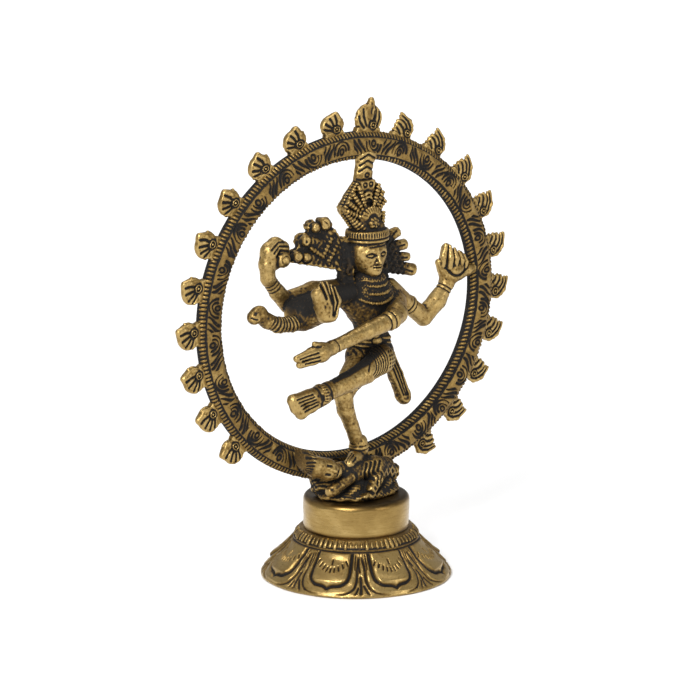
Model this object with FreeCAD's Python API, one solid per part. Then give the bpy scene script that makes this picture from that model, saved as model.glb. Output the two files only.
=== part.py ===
import FreeCAD, Part
import math
import os

# Nataraja statue in cast brass. All sizes in millimetres.
# The origin is the centre of the round foot at table height. +Z is up and
# the figure faces -Y. "left" and "right" in the names are the sides seen
# from the front: left is -X and right is +X.

V = FreeCAD.Vector

# Overall sizes
FOOT_R = 25.4

# Round base: (radius, height) along the outside and the inside of the skirt
COLLAR_Z = 10.4
DRUM_Z = 13.0
DRUM_TOP = 22.2
COLLAR_R = 16.8
COLLAR_TOP_R = 14.9
DRUM_R = 14.3
DRUM_EDGE = 1.3
DRUM_TOP_PLATE = 2.5
HOLLOW_R = 12.0
SKIRT_OUTSIDE = [
    (24.9, 0.0), (FOOT_R, 0.4), (FOOT_R, 1.4), (23.2, 3.9), (19.7, 7.2), (16.9, 9.9), (COLLAR_R, COLLAR_Z)]
SKIRT_INSIDE = [
    (HOLLOW_R, COLLAR_Z), (HOLLOW_R, 9.2), (14.4, 8.5), (17.9, 5.6), (21.2, 2.7), (23.0, 0.6), (23.0, 0.0)]

# Fastening inside the base
STUD_R = 2.0
STUD_BOTTOM = 14.4
STUD_TOP = 26.2
WASHER_R = 5.0
WASHER_THICK = 1.0
NUT_ACROSS = 7.0
NUT_THICK = 3.2

# Ring of flames
RING_Y = 3.0
RING_Z = 72.2
HOLE_HALF_X = 42.7
HOLE_HALF_Z = 38.9
INNER_BORDER_W = 1.4
BAND_W = 4.7
OUTER_BORDER_W = 1.3
BORDER_THICK = 2.8
BAND_THICK = 4.0
BAND_CHAMFER = 0.7
RING_LEAN = 7.9
FLAMES_EACH_SIDE = 10
FLAME_STEP = 14.14
FLAME_HALF_W = 3.7
TOP_FLAME_HALF_W = 4.5
FLAME_THICK = 2.4
FLAME_ROOT_SUNK = 0.9
FLAME_REACH_X = 57.16
FLAME_REACH_Z = 52.6
TOP_REACH_Z = 55.32
TIP_LEAN = 1.6  # degrees by which each tip leans towards the top of the ring

solids = {}


def ball(centre, radius, axis=V(0, 0, 1)):
    return Part.makeSphere(radius, V(*centre), axis)


def cone(start, end, r_start, r_end):
    a = V(*start)
    b = V(*end)
    axis = b - a
    if abs(r_start - r_end) < 0.02:
        return Part.makeCylinder(r_start, axis.Length, a, axis)
    return Part.makeCone(r_start, r_end, axis.Length, a, axis)


def limb(*joints):
    """A rounded limb through (x, y, z, radius) joints."""
    shape = None
    for number, joint in enumerate(joints):
        near = joints[number - 1] if number else joints[1]
        along = V(*near[:3]) - V(*joint[:3])
        # the joint ball stands a little proud, so every surface crosses cleanly
        piece = ball(joint[:3], joint[3] * 1.04, along)
        shape = piece if shape is None else shape.fuse(piece)
        if number:
            shape = shape.fuse(cone(near[:3], joint[:3], near[3], joint[3]))
    return shape


def fuse_all(shapes):
    whole = shapes[0]
    for shape in shapes[1:]:
        whole = whole.fuse(shape)
    return whole


def biggest(shape):
    return max(shape.Solids, key=lambda solid: solid.Volume)


def place(name, shape):
    """Fit a piece against the pieces already there and keep it."""
    for other in solids.values():
        if shape.BoundBox.intersect(other.BoundBox):
            shape = shape.cut(other)
    solid = biggest(shape)
    solids[name] = solid
    return solid


def turned(points):
    """A solid of revolution about Z from a closed (radius, height) outline."""
    outline = [V(r, 0, z) for r, z in points]
    outline.append(outline[0])
    face = Part.Face(Part.makePolygon(outline))
    return face.revolve(V(0, 0, 0), V(0, 0, 1), 360)


def oval(offset):
    half_x = HOLE_HALF_X + offset
    half_z = HOLE_HALF_Z + offset
    curve = Part.Ellipse(V(half_x, 0, 0), V(0, half_z, 0), V(0, 0, 0))
    return Part.Wire(curve.toShape())


def oval_band(inner, outer, thick):
    """A flat oval hoop standing upright in the plane of the ring."""
    hoop = Part.Face(oval(outer)).cut(Part.Face(oval(inner)))
    solid = biggest(hoop.extrude(V(0, 0, thick)))
    solid.rotate(V(0, 0, 0), V(1, 0, 0), 90)
    solid.translate(V(0, RING_Y + thick / 2, RING_Z))
    return solid


def ring_point(angle, half_x, half_z):
    a = math.radians(angle)
    return V(half_x * math.cos(a), RING_Y, RING_Z + half_z * math.sin(a))


def leaf(root, tip, half_w):
    """A flame-shaped leaf between two points, standing in the ring's plane."""
    up = tip - root
    length = up.Length
    up.normalize()
    side = V(up.z, 0, -up.x)
    outline = [(-0.62, 0.0), (-0.95, 0.22), (-1.0, 0.42), (-0.82, 0.62), (-0.42, 0.84), (0.0, 1.0)]
    corners = [root + side * (half_w * s) + up * (length * t) for s, t in outline]
    corners += [root - side * (half_w * s) + up * (length * t) for s, t in outline[-2::-1]]
    corners.append(corners[0])
    face = Part.Face(Part.makePolygon(corners))
    solid = face.extrude(V(0, FLAME_THICK, 0))
    solid.translate(V(0, -FLAME_THICK / 2, 0))
    return solid


# ---------------------------------------------------------------- base
place("lotus_skirt", turned(SKIRT_OUTSIDE + SKIRT_INSIDE))
place("bead_collar", turned([
    (COLLAR_R, COLLAR_Z), (COLLAR_TOP_R, DRUM_Z), (HOLLOW_R, DRUM_Z), (HOLLOW_R, COLLAR_Z)]))

plate_z = DRUM_TOP - DRUM_TOP_PLATE
drum = Part.makeCylinder(DRUM_R, DRUM_TOP - DRUM_Z, V(0, 0, DRUM_Z))
top_edge = [edge for edge in drum.Edges if edge.BoundBox.ZMin > DRUM_TOP - 0.01]
drum = drum.makeFillet(DRUM_EDGE, top_edge)
drum = drum.cut(Part.makeCylinder(HOLLOW_R, plate_z - DRUM_Z, V(0, 0, DRUM_Z)))
drum = drum.cut(Part.makeCylinder(STUD_R, DRUM_TOP, V(0, 0, DRUM_Z)))
place("drum", drum)

stud = Part.makeCylinder(STUD_R, STUD_TOP - STUD_BOTTOM, V(0, 0, STUD_BOTTOM))
place("mounting_stud", stud)
washer = Part.makeCylinder(WASHER_R, WASHER_THICK, V(0, 0, plate_z - WASHER_THICK))
place("washer", washer)
nut_top = plate_z - WASHER_THICK
nut_r = NUT_ACROSS / 2 / math.cos(math.radians(30))
corners = []
for number in range(7):
    turn = math.radians(60 * number)
    corners.append(V(nut_r * math.cos(turn), nut_r * math.sin(turn), nut_top - NUT_THICK))
nut = Part.Face(Part.makePolygon(corners)).extrude(V(0, 0, NUT_THICK))
place("hex_nut", nut)

# ---------------------------------------------------------------- ring
band_from = INNER_BORDER_W
band_to = INNER_BORDER_W + BAND_W
band = oval_band(band_from, band_to, BAND_THICK)
band = band.makeChamfer(BAND_CHAMFER, band.Edges)
inner_border = oval_band(0, band_from, BORDER_THICK)
outer_border = oval_band(band_to, band_to + OUTER_BORDER_W, BORDER_THICK)

# The lump on the drum that the ring, the dwarf and the stud all sit in
mound = fuse_all([
    limb((-7.8, -1.0, 24.0, 3.3), (7.5, -1.0, 24.0, 3.3)),
    limb((-6.4, 3.2, 25.0, 3.9), (7.4, 3.2, 25.0, 3.9)),
    limb((-4.5, -4.6, 24.8, 2.9), (5.5, -4.6, 24.8, 2.9)),
    Part.makeBox(18, 11, 4.5, V(-8.5, -6.0, 21.2))])
mound = mound.common(Part.makeBox(60, 60, 30, V(-30, -30, DRUM_TOP)))
place("flame_ring", band)
place("inner_border", inner_border)
place("outer_border", outer_border)
place("mound", mound)

outer_half_x = HOLE_HALF_X + band_to + OUTER_BORDER_W
outer_half_z = HOLE_HALF_Z + band_to + OUTER_BORDER_W


def flame(name, step):
    angle = 90 - RING_LEAN - step * FLAME_STEP
    root = ring_point(angle, outer_half_x - FLAME_ROOT_SUNK, outer_half_z - FLAME_ROOT_SUNK)
    reach_z = TOP_REACH_Z if step == 0 else FLAME_REACH_Z
    half_w = TOP_FLAME_HALF_W if step == 0 else FLAME_HALF_W
    lean = 0.0 if step == 0 else math.copysign(TIP_LEAN, step)
    tip = ring_point(angle + lean, FLAME_REACH_X, reach_z)
    place(name, leaf(root, tip, half_w))


flame("flame_top", 0)
for number in range(1, FLAMES_EACH_SIDE + 1):
    flame("flame_right_%02d" % number, number)
    flame("flame_left_%02d" % number, -number)

# ---------------------------------------------------------------- dwarf underfoot
dwarf_legs = fuse_all([
    limb((5.0, -4.6, 27.8, 2.2), (0.6, -8.0, 26.2, 1.9), (-3.0, -9.0, 23.9, 1.5)),
    limb((5.0, -4.6, 27.8, 2.2), (8.6, -3.0, 27.0, 2.2), (11.4, -1.2, 25.2, 2.6))])
place("dwarf_legs", dwarf_legs)
dwarf_body = fuse_all([
    limb((-9.5, -3.6, 30.2, 2.3), (-4.5, -3.8, 29.4, 3.3), (3.0, -3.6, 28.6, 3.4), (8.5, -2.2, 27.8, 2.9)),
    limb((-5.0, -5.5, 28.6, 2.0), (-6.4, -6.6, 25.6, 1.7))])
place("dwarf_body", dwarf_body)
place("dwarf_head", limb((-15.2, -4.2, 32.2, 2.8), (-11.8, -4.4, 31.2, 2.4)))

# ---------------------------------------------------------------- standing leg
place("foot_standing", limb((-0.2, -1.4, 32.9, 2.3), (-3.0, -3.0, 32.2, 1.9), (-7.0, -4.9, 31.9, 1.5)))
place("anklet_standing", cone((-0.4, -1.6, 34.3), (-0.7, -1.7, 36.3), 2.9, 2.9))
place("leg_standing", limb((-0.3, -1.5, 34.6, 2.2), (-3.4, -2.3, 42.6, 2.0), (-7.4, -3.4, 50.4, 2.6),
                           (-3.0, -2.0, 54.4, 3.4), (1.5, -0.6, 58.2, 4.2)))

# ---------------------------------------------------------------- body
hips = limb((1.6, 0.2, 58.6, 4.3), (7.0, 0.2, 58.8, 4.7))
place("hip_cloth", hips)
torso = fuse_all([
    limb((-1.2, 0.8, 74.3, 4.1), (9.6, 0.8, 73.9, 4.1)),
    limb((0.2, 0.4, 73.4, 4.3), (3.9, 0.0, 64.6, 3.4), (4.2, 0.1, 60.0, 3.8)),
    limb((8.6, 0.4, 73.2, 4.2), (5.6, 0.0, 64.6, 3.4), (6.0, 0.1, 60.0, 3.8)),
    cone((4.2, 0.4, 74.0), (4.3, 0.3, 83.0), 3.6, 2.9)])
place("torso", torso)
place("waist_belt", limb((2.4, -0.1, 62.9, 3.7), (7.0, -0.1, 62.9, 3.7)))

place("leg_raised", limb((6.6, -1.2, 58.6, 4.5), (4.6, -6.6, 58.6, 3.9), (-4.0, -8.4, 57.0, 3.0),
                         (-17.4, -9.6, 54.2, 2.3)))
place("anklet_raised", cone((-17.4, -9.6, 54.2), (-20.2, -9.8, 53.6), 2.9, 2.9))
place("foot_raised", fuse_all([
    limb((-20.0, -9.8, 53.6, 2.4), (-25.5, -10.2, 53.5, 2.1), (-30.4, -10.4, 53.2, 1.6)),
    limb((-20.0, -9.8, 53.4, 2.2), (-24.4, -10.1, 51.4, 1.9), (-27.0, -10.3, 50.0, 1.5))]))
place("sash_tail", limb((10.6, 2.6, 60.0, 2.1), (15.4, 3.2, 54.4, 1.8), (19.2, 3.2, 44.2, 1.8)))

# ---------------------------------------------------------------- head and crown
head = fuse_all([
    limb((4.5, -0.4, 88.0, 4.8), (4.3, -2.0, 83.6, 3.2)),
    limb((-0.6, 0.6, 85.2, 1.3), (9.6, 0.6, 85.2, 1.3))])
place("head", head)
fan_outline = [(-3.6, 91.0), (-6.6, 97.0), (-7.2, 100.6), (-4.4, 103.6), (-1.9, 105.2),
               (2.3, 105.2), (4.6, 103.4), (7.0, 100.4), (6.4, 96.8), (3.6, 91.0)]
corners = [V(4.2 + x, -1.4, z) for x, z in fan_outline]
corners.append(corners[0])
fan = Part.Face(Part.makePolygon(corners)).extrude(V(0, 4.4, 0))
head_band = cone((4.5, -0.2, 89.8), (4.4, -0.1, 91.8), 5.6, 5.4)
place("crown_fan", fuse_all([fan, ball((3.9, -1.6, 95.6), 2.3), head_band]))
corners = [V(x, 1.2, z) for x, z in [(2.8, 105.0), (6.9, 105.0), (8.4, 112.0), (3.7, 112.4), (2.8, 105.0)]]
post = Part.Face(Part.makePolygon(corners)).extrude(V(0, 3.3, 0))
place("crown_post", post)
place("necklace", fuse_all([
    limb((-0.6, -2.6, 77.0, 2.2), (1.4, -4.0, 73.2, 2.4), (4.1, -4.3, 71.4, 2.4), (7.0, -4.0, 73.0, 2.4),
         (9.0, -2.6, 76.8, 2.2)),
    cone((4.2, 0.3, 77.2), (4.2, 0.1, 80.6), 5.6, 4.4)]))

# Locks of hair thrown out to both sides
place("hair_locks_right", fuse_all([
    limb((7.6, 1.8, 88.4, 1.9), (16.6, 2.0, 90.4, 1.4)),
    limb((7.6, 1.8, 86.4, 1.9), (19.4, 2.0, 86.4, 1.4)),
    limb((7.6, 1.8, 84.4, 1.9), (20.6, 2.0, 82.9, 1.4)),
    limb((7.6, 1.8, 82.4, 1.9), (21.8, 2.0, 78.9, 1.5))]))
place("hair_locks_left", fuse_all([
    limb((1.4, 2.0, 88.8, 2.0), (-10.4, 2.4, 95.6, 2.0)),
    limb((1.4, 2.0, 87.2, 2.0), (-13.8, 2.4, 93.4, 1.9)),
    limb((1.4, 2.0, 85.6, 2.0), (-16.8, 2.4, 90.6, 1.8)),
    limb((1.4, 2.0, 84.0, 2.0), (-18.6, 2.6, 87.2, 1.6))]))

# ---------------------------------------------------------------- back pair of arms
place("arm_back_right", limb((13.0, 1.6, 75.4, 2.9), (20.4, 2.6, 69.8, 2.3), (26.2, 3.0, 65.3, 2.4),
                             (30.6, 3.0, 69.6, 2.2), (34.2, 3.0, 73.6, 1.8)))
place("hand_flame", fuse_all([
    limb((34.2, 3.0, 73.8, 1.9), (35.6, 3.0, 78.6, 2.9), (33.4, 2.6, 83.2, 2.0), (32.2, 2.4, 85.4, 1.0)),
    limb((35.6, 3.0, 78.6, 2.4), (37.6, 2.6, 82.4, 1.5)),
    limb((35.6, 3.0, 77.6, 2.0), (42.4, 3.0, 78.4, 1.4))]))
place("arm_back_left", limb((-2.6, 2.8, 76.6, 3.2), (-19.4, 3.4, 75.8, 3.0), (-24.6, 3.2, 79.0, 2.3),
                            (-28.6, 3.0, 83.6, 2.0)))
place("hand_drum", limb((-28.6, 3.0, 83.6, 2.1), (-29.0, 3.0, 88.4, 2.4), (-25.6, 3.0, 91.6, 2.3),
                        (-21.8, 3.0, 89.2, 2.2)))

# ---------------------------------------------------------------- front pair of arms
place("arm_front_right", limb((12.2, -1.6, 72.0, 3.2), (6.6, -7.6, 69.9, 2.6), (-4.0, -8.9, 68.0, 2.3),
                              (-14.6, -10.2, 66.0, 1.8)))
place("bracelet_front_right", cone((-13.6, -10.1, 66.2), (-17.0, -10.5, 65.6), 2.3, 2.3))
place("hand_crossing", fuse_all([
    limb((-16.8, -10.5, 65.6, 1.8), (-21.6, -10.9, 64.7, 2.4), (-25.6, -11.2, 64.4, 2.0),
         (-29.6, -11.5, 63.6, 1.2)),
    limb((-19.6, -10.9, 65.6, 1.5), (-23.4, -11.2, 67.4, 1.1))]))
place("arm_front_left", limb((-2.8, -1.6, 74.6, 3.4), (-18.6, -1.4, 73.6, 3.7), (-17.8, -8.2, 72.4, 2.5)))
place("hand_blessing", limb((-17.6, -9.2, 72.2, 2.7), (-17.6, -10.4, 77.4, 2.4), (-18.2, -10.6, 82.0, 1.5)))
place("snake", limb((-19.6, -2.6, 71.4, 2.2), (-26.6, -3.8, 70.4, 1.9), (-33.2, -4.0, 71.8, 1.9),
                    (-37.4, -4.0, 75.0, 2.1), (-39.6, -4.0, 76.8, 1.9)))

os.makedirs("parts", exist_ok=True)
for name, solid in solids.items():
    solid.exportStep("parts/%s.step" % name)
    box = solid.BoundBox
    print("%-20s valid %s  volume %8.1f mm3  x %6.1f..%6.1f  y %6.1f..%6.1f  z %6.1f..%6.1f" % (
        name, solid.isValid(), solid.Volume, box.XMin, box.XMax, box.YMin, box.YMax, box.ZMin, box.ZMax))
whole = Part.makeCompound(list(solids.values())).BoundBox
print("whole: %.2f x %.2f x %.2f mm, %d pieces" % (whole.XLength, whole.YLength, whole.ZLength, len(solids)))
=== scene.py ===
# %% [markdown]
# # A small cast brass nataraja
# A dancing figure inside a ring of flames, on a turned foot. The real thing is modelled in wax, cast in
# one pour, blackened all over and then rubbed, so that the grooves stay dark and the ridges turn to gold.
# This lesson follows the maker: first the frame is loaded, then the wax is modelled piece by piece,
# then the ring and its flames, then the foot, and last the finish, the light and the camera.

# %% Load the frame
import bpy
import math
import numpy as np
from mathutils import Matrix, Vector


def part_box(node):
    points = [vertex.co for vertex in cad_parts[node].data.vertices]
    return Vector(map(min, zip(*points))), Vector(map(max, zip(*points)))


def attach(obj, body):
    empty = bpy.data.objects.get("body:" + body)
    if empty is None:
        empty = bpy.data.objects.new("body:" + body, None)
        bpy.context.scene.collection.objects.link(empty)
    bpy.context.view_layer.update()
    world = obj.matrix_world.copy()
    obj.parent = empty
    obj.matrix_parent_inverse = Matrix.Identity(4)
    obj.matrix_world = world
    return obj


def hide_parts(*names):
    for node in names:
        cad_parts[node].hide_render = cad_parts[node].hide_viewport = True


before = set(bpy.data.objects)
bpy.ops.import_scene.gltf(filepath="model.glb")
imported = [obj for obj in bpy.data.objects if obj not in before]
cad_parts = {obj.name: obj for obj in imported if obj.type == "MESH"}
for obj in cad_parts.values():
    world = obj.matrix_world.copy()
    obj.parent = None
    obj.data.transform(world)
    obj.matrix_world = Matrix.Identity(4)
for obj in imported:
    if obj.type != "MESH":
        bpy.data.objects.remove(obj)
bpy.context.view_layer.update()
MM = 0.001
print("frame holds", len(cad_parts), "nodes")


def box_mm(*nodes):
    """Lowest and highest corner of some CAD nodes together, in millimetres."""
    corners = [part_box(node) for node in nodes]
    low = np.min([np.array(corner[0]) for corner in corners], axis=0) / MM
    high = np.max([np.array(corner[1]) for corner in corners], axis=0) / MM
    return low, high


# %% [markdown]
# ## The finish
# Antique brass is not one colour. A black-brown patina sits in every groove, a brown film covers the
# sheltered faces, and the ridges are rubbed back to bare yellow metal. Each mesh below carries two numbers
# per point: "patina", 0 on a rubbed ridge and 1 deep in a groove, and "shelter", which is high where
# a cloth can't reach. The material only has to read them, break them up with noise and turn them into colour,
# roughness and a cast, slightly pitted surface. Everything reads Object coordinates, so nothing slides.


# %% Node helpers
def link(tree, start, end):
    tree.links.new(start, end)


def add(tree, kind, **settings):
    node = tree.nodes.new(kind)
    for key, value in settings.items():
        setattr(node, key, value)
    return node


def noise(tree, coords, scale, detail=4.0, rough=0.55):
    node = add(tree, "ShaderNodeTexNoise")
    node.inputs["Scale"].default_value = scale
    node.inputs["Detail"].default_value = detail
    node.inputs["Roughness"].default_value = rough
    link(tree, coords, node.inputs["Vector"])
    return node.outputs["Fac"]


def maths(tree, operation, a, b, clamp=False):
    node = add(tree, "ShaderNodeMath", operation=operation, use_clamp=clamp)
    for socket, value in zip(node.inputs, (a, b)):
        if isinstance(value, (int, float)):
            socket.default_value = value
        else:
            link(tree, value, socket)
    return node.outputs[0]


def ramp(tree, factor, stops):
    node = add(tree, "ShaderNodeValToRGB")
    while len(node.color_ramp.elements) < len(stops):
        node.color_ramp.elements.new(0.5)
    for element, (place, colour) in zip(node.color_ramp.elements, stops):
        element.position = place
        element.color = (*colour, 1.0)
    link(tree, factor, node.inputs["Fac"])
    return node.outputs["Color"]


def blend(tree, a, share_a, b, share_b):
    """a and b added together, each times its share."""
    return maths(tree, "ADD", maths(tree, "MULTIPLY", a, share_a), maths(tree, "MULTIPLY", b, share_b))


def swing(tree, texture, amount):
    """A texture that runs from 0 to 1, turned into a swing of amount round zero."""
    return maths(tree, "MULTIPLY", maths(tree, "SUBTRACT", texture, 0.5), amount)


def start_material(name):
    material = bpy.data.materials.new(name)
    material.use_nodes = True
    tree = material.node_tree
    coords = add(tree, "ShaderNodeTexCoord").outputs["Object"]
    return material, tree, tree.nodes["Principled BSDF"], coords


def rough_skin(tree, shader, height, strength, distance):
    bump = add(tree, "ShaderNodeBump")
    bump.inputs["Strength"].default_value = strength
    bump.inputs["Distance"].default_value = distance
    link(tree, height, bump.inputs["Height"])
    link(tree, bump.outputs["Normal"], shader.inputs["Normal"])


# %% Antique brass
BLACK_PATINA = (0.010, 0.009, 0.008)
BROWN_PATINA = (0.045, 0.028, 0.012)
OLD_BRASS = (0.130, 0.079, 0.026)
RUBBED_BRASS = (0.262, 0.168, 0.054)
BRIGHT_BRASS = (0.400, 0.276, 0.104)


def antique_brass(name, extra_dark=0.0, shine=0.40, depth=1.05):
    """Brass with patina in its hollows; extra_dark lifts it all over, depth is how black a hollow gets."""
    material, tree, shader, coords = start_material(name)
    patina = add(tree, "ShaderNodeAttribute", attribute_name="patina").outputs["Fac"]
    shelter = add(tree, "ShaderNodeAttribute", attribute_name="shelter").outputs["Fac"]
    broad = noise(tree, coords, 160.0)
    fine = noise(tree, coords, 900.0, detail=6.0, rough=0.65)
    stain = swing(tree, broad, 0.55)
    speck = swing(tree, fine, 0.4)
    dirt = blend(tree, patina, depth, shelter, 0.55)
    pits = noise(tree, coords, 2600.0, detail=3.0)
    holes = maths(tree, "MULTIPLY", maths(tree, "SUBTRACT", pits, 0.58, clamp=True), 2.8)
    dirt = maths(tree, "ADD", dirt, maths(tree, "ADD", stain, maths(tree, "ADD", speck, holes)))
    dirt = maths(tree, "ADD", dirt, 0.08)
    dirt = maths(tree, "ADD", dirt, extra_dark, clamp=True)
    # the rag still caught the highest grains inside the dark places
    grains = noise(tree, coords, 1700.0, detail=4.0)
    caught = maths(tree, "MULTIPLY", maths(tree, "SUBTRACT", grains, 0.57, clamp=True), 3.6)
    dirt = maths(tree, "SUBTRACT", dirt, maths(tree, "MULTIPLY", caught, dirt), clamp=True)
    colour = ramp(tree, dirt, [(0.0, BRIGHT_BRASS), (0.16, RUBBED_BRASS), (0.42, OLD_BRASS),
                               (0.66, BROWN_PATINA), (0.86, BLACK_PATINA)])
    link(tree, colour, shader.inputs["Base Color"])
    shader.inputs["Specular IOR Level"].default_value = 0.25
    bare = ramp(tree, dirt, [(0.35, (1.0, 1.0, 1.0)), (0.85, (0.15, 0.15, 0.15))])
    link(tree, bare, shader.inputs["Metallic"])
    rough = maths(tree, "ADD", maths(tree, "MULTIPLY", dirt, 0.42), shine)
    rough = maths(tree, "ADD", rough, swing(tree, fine, 0.25))
    link(tree, rough, shader.inputs["Roughness"])
    rough_skin(tree, shader, blend(tree, fine, 0.6, pits, 0.4), 0.35, 0.22 * MM)
    return material


figure_brass = antique_brass("figure_brass", extra_dark=0.03, depth=1.25)
ring_brass = antique_brass("ring_brass", extra_dark=0.11, depth=1.7)
base_brass = antique_brass("base_brass", extra_dark=-0.07, shine=0.33)

# %% [markdown]
# ## The wax
# Limbs, hair and cloth flow into each other, which plain mesh boxes don't do. So the figure is modelled as
# a volume: every point of a fine grid holds its distance to the wax, negative inside. A limb is a row of
# tapered sausages, joined softly by `melt`, and a groove is a shallow line pressed into the distances.
# The surface is then drawn where the distance is zero, one point in each cell that the surface
# crosses. Sculpting by hand would look the same, but it can't be read or changed later.

# %% The modelling tools
GRAIN = 0.22   # millimetres between the points of the grid


def melt(a, b, soft):
    """The two shapes together, filleted where they meet."""
    if soft <= 0:
        return np.minimum(a, b)
    h = np.clip(0.5 + 0.5 * (b - a) / soft, 0, 1)
    return b + (a - b) * h - soft * h * (1 - h)


def sausage(P, start, end, r_start, r_end):
    a = np.array(start, np.float32)
    run = np.array(end, np.float32) - a
    t = np.clip((P - a) @ run / (run @ run), 0, 1)
    gap = P - a - t[..., None] * run
    return np.sqrt((gap * gap).sum(-1)) - (r_start + (r_end - r_start) * t)


def limb(P, *joints, soft=0.6):
    """Rounded limb through (x, y, z, radius) joints."""
    shape = None
    for near, far in zip(joints, joints[1:]):
        piece = sausage(P, near[:3], far[:3], near[3], far[3])
        shape = piece if shape is None else melt(shape, piece, soft)
    return shape


def egg(P, centre, radii):
    q = (P - np.array(centre, np.float32)) / np.array(radii, np.float32)
    near = np.sqrt((q * q).sum(-1)) + 1e-6
    steep = np.sqrt(((q / np.array(radii, np.float32)) ** 2).sum(-1)) + 1e-6
    return near * (near - 1) / steep


def unit(v):
    v = np.array(v, np.float32)
    return v / np.linalg.norm(v)


def line_distance(P, path):
    """Distance from each point to a broken line."""
    path = [np.array(p, np.float32) for p in path]
    nearest = None
    for a, b in zip(path, path[1:]):
        run = b - a
        t = np.clip((P - a) @ run / max(float(run @ run), 1e-9), 0, 1)
        gap = P - a - t[..., None] * run
        d2 = (gap * gap).sum(-1)
        nearest = d2 if nearest is None else np.minimum(nearest, d2)
    return np.sqrt(nearest)


def press(P, shape, path, facing, width=0.28, depth=0.4, reach=1.6):
    """Presses a line into the side of the wax that looks towards facing."""
    n = unit(facing)
    along = P @ n
    flat = P - along[..., None] * n
    path = [np.array(p, np.float32) for p in path]
    level = float(np.mean([p @ n for p in path]))
    seen = np.clip((along - level + reach) / 0.5, 0, 1)
    away = line_distance(flat, [p - (p @ n) * n for p in path])
    return shape + depth * seen * np.exp(-(away / width) ** 2)


def hoop(P, shape, centre, axis, height, width=0.3, within=4.0):
    """Raises (height > 0) or cuts (height < 0) a band round a limb."""
    n = unit(axis)
    offset = P - np.array(centre, np.float32)
    across = offset @ n
    near = np.clip((within - np.sqrt((offset * offset).sum(-1))) / 0.4, 0, 1)
    return shape - height * near * np.exp(-(across / width) ** 2)


def arc(centre, across, up, radius, start, end, steps=8):
    """Points along an arc; across and up are the two directions of its plane."""
    centre, across, up = (np.array(v, float) for v in (centre, across, up))
    turns = np.radians(np.linspace(start, end, steps + 1))
    return [centre + radius * (math.cos(t) * across + math.sin(t) * up) for t in turns]


X, Y, Z = np.eye(3)

# %% The block of wax for each piece
wax = {}


def wax_block(node, modeller, margin=1.5):
    """Runs a modeller on the grid points round its CAD node."""
    low, high = box_mm(node)
    first = np.floor((low - margin) / GRAIN).astype(int)
    last = np.ceil((high + margin) / GRAIN).astype(int)
    axes = [np.arange(first[i], last[i] + 1, dtype=np.float32) * GRAIN for i in range(3)]
    points = np.stack(np.meshgrid(*axes, indexing="ij"), -1)
    wax[node] = (first, modeller(points).astype(np.float32))


# %% [markdown]
# ## Standing leg and foot
# The figure stands on its right leg, knee turned out and well bent. The real leg is one tapering roll of wax,
# swelling at knee and calf. A tapered row of joints gives just that. The ankle wears a plain ring.


# %% Standing leg
def standing_leg(P):
    leg = limb(P, (1.5, -0.6, 58.2, 4.1), (-3.0, -2.0, 54.4, 3.3), (-7.3, -3.4, 50.6, 2.55), soft=1.2)
    shin = limb(P, (-7.3, -3.4, 50.6, 2.55), (-6.0, -2.8, 46.2, 2.25), (-3.6, -2.3, 41.5, 1.9),
                (-1.2, -1.7, 36.6, 1.95), (-0.4, -1.5, 34.4, 2.2))
    shape = melt(leg, shin, 0.5)
    shape = hoop(P, shape, (-0.6, -1.6, 36.9), (-0.3, -0.1, 1), -0.25, 0.25)
    for drop in (0.0, 1.1, 2.2, 3.3):
        path = [(-9.5 + drop, -6.0, 55.5 + drop * 0.3), (-5.5 + drop, -6.0, 53.6), (-2.0 + drop, -5.5, 50.8)]
        shape = press(P, shape, path, (-0.4, -1, 0.2), 0.22, 0.22, 3.0)
    return shape


def standing_foot(P):
    foot = limb(P, (0.2, -1.3, 33.2, 2.1), (-3.0, -3.0, 32.6, 1.8), (-6.4, -4.8, 32.2, 1.25), soft=0.8)
    for side in (-0.9, -0.1, 0.7):
        path = [(-4.2, -3.9 + side, 34.0), (-7.6, -5.7 + side, 33.4)]
        foot = press(P, foot, path, Z, 0.2, 0.35)
    return foot


def ankle_ring(P):
    ring = limb(P, (-0.4, -1.6, 34.4, 2.55), (-0.65, -1.7, 36.2, 2.45))
    return hoop(P, ring, (-0.5, -1.65, 35.3), (-0.25, -0.1, 1.8), 0.25, 0.35)


wax_block("leg_standing", standing_leg)
wax_block("foot_standing", standing_foot)
wax_block("anklet_standing", ankle_ring)

# %% [markdown]
# ## Raised leg
# The other leg swings up across the body. The cloth ends at the knee in nested folds, the shin is bare and
# smooth with a dark stripe along its top, and the foot is a flat paddle with its toes drawn as five lines.


# %% Raised leg
def raised_leg(P):
    thigh = limb(P, (5.4, -1.0, 59.4, 4.1), (3.8, -5.6, 58.9, 3.8), soft=1.0)
    shin = limb(P, (2.8, -6.6, 58.7, 3.6), (-4.0, -8.4, 57.0, 3.0), (-11.0, -9.1, 55.4, 2.6),
                (-17.6, -9.6, 54.2, 2.4))
    shape = melt(thigh, shin, 0.6)
    facing = (-0.35, -1, 0.1)
    for number in range(6):
        bend = arc((-4.8, -10.5, 59.3), X, Z, 3.0 + 0.82 * number, -58, 48, 6)
        shape = press(P, shape, bend, facing, 0.22, 0.36, 6.0)
    shape = press(P, shape, [(-4.2, -11, 59.6), (-5.0, -11, 58.0)], facing, 0.24, 0.4, 3.0)
    # rows of dots where the cloth ends behind the knee
    for row in range(3):
        for k in range(5):
            dot = (3.4 + 1.15 * row, -9.6 + 0.5 * row, 57.4 + 1.0 * k)
            shape = press(P, shape, [dot, (dot[0] + 0.25, dot[1], dot[2] + 0.25)], facing, 0.24, 0.3, 3.0)
    return shape


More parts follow.
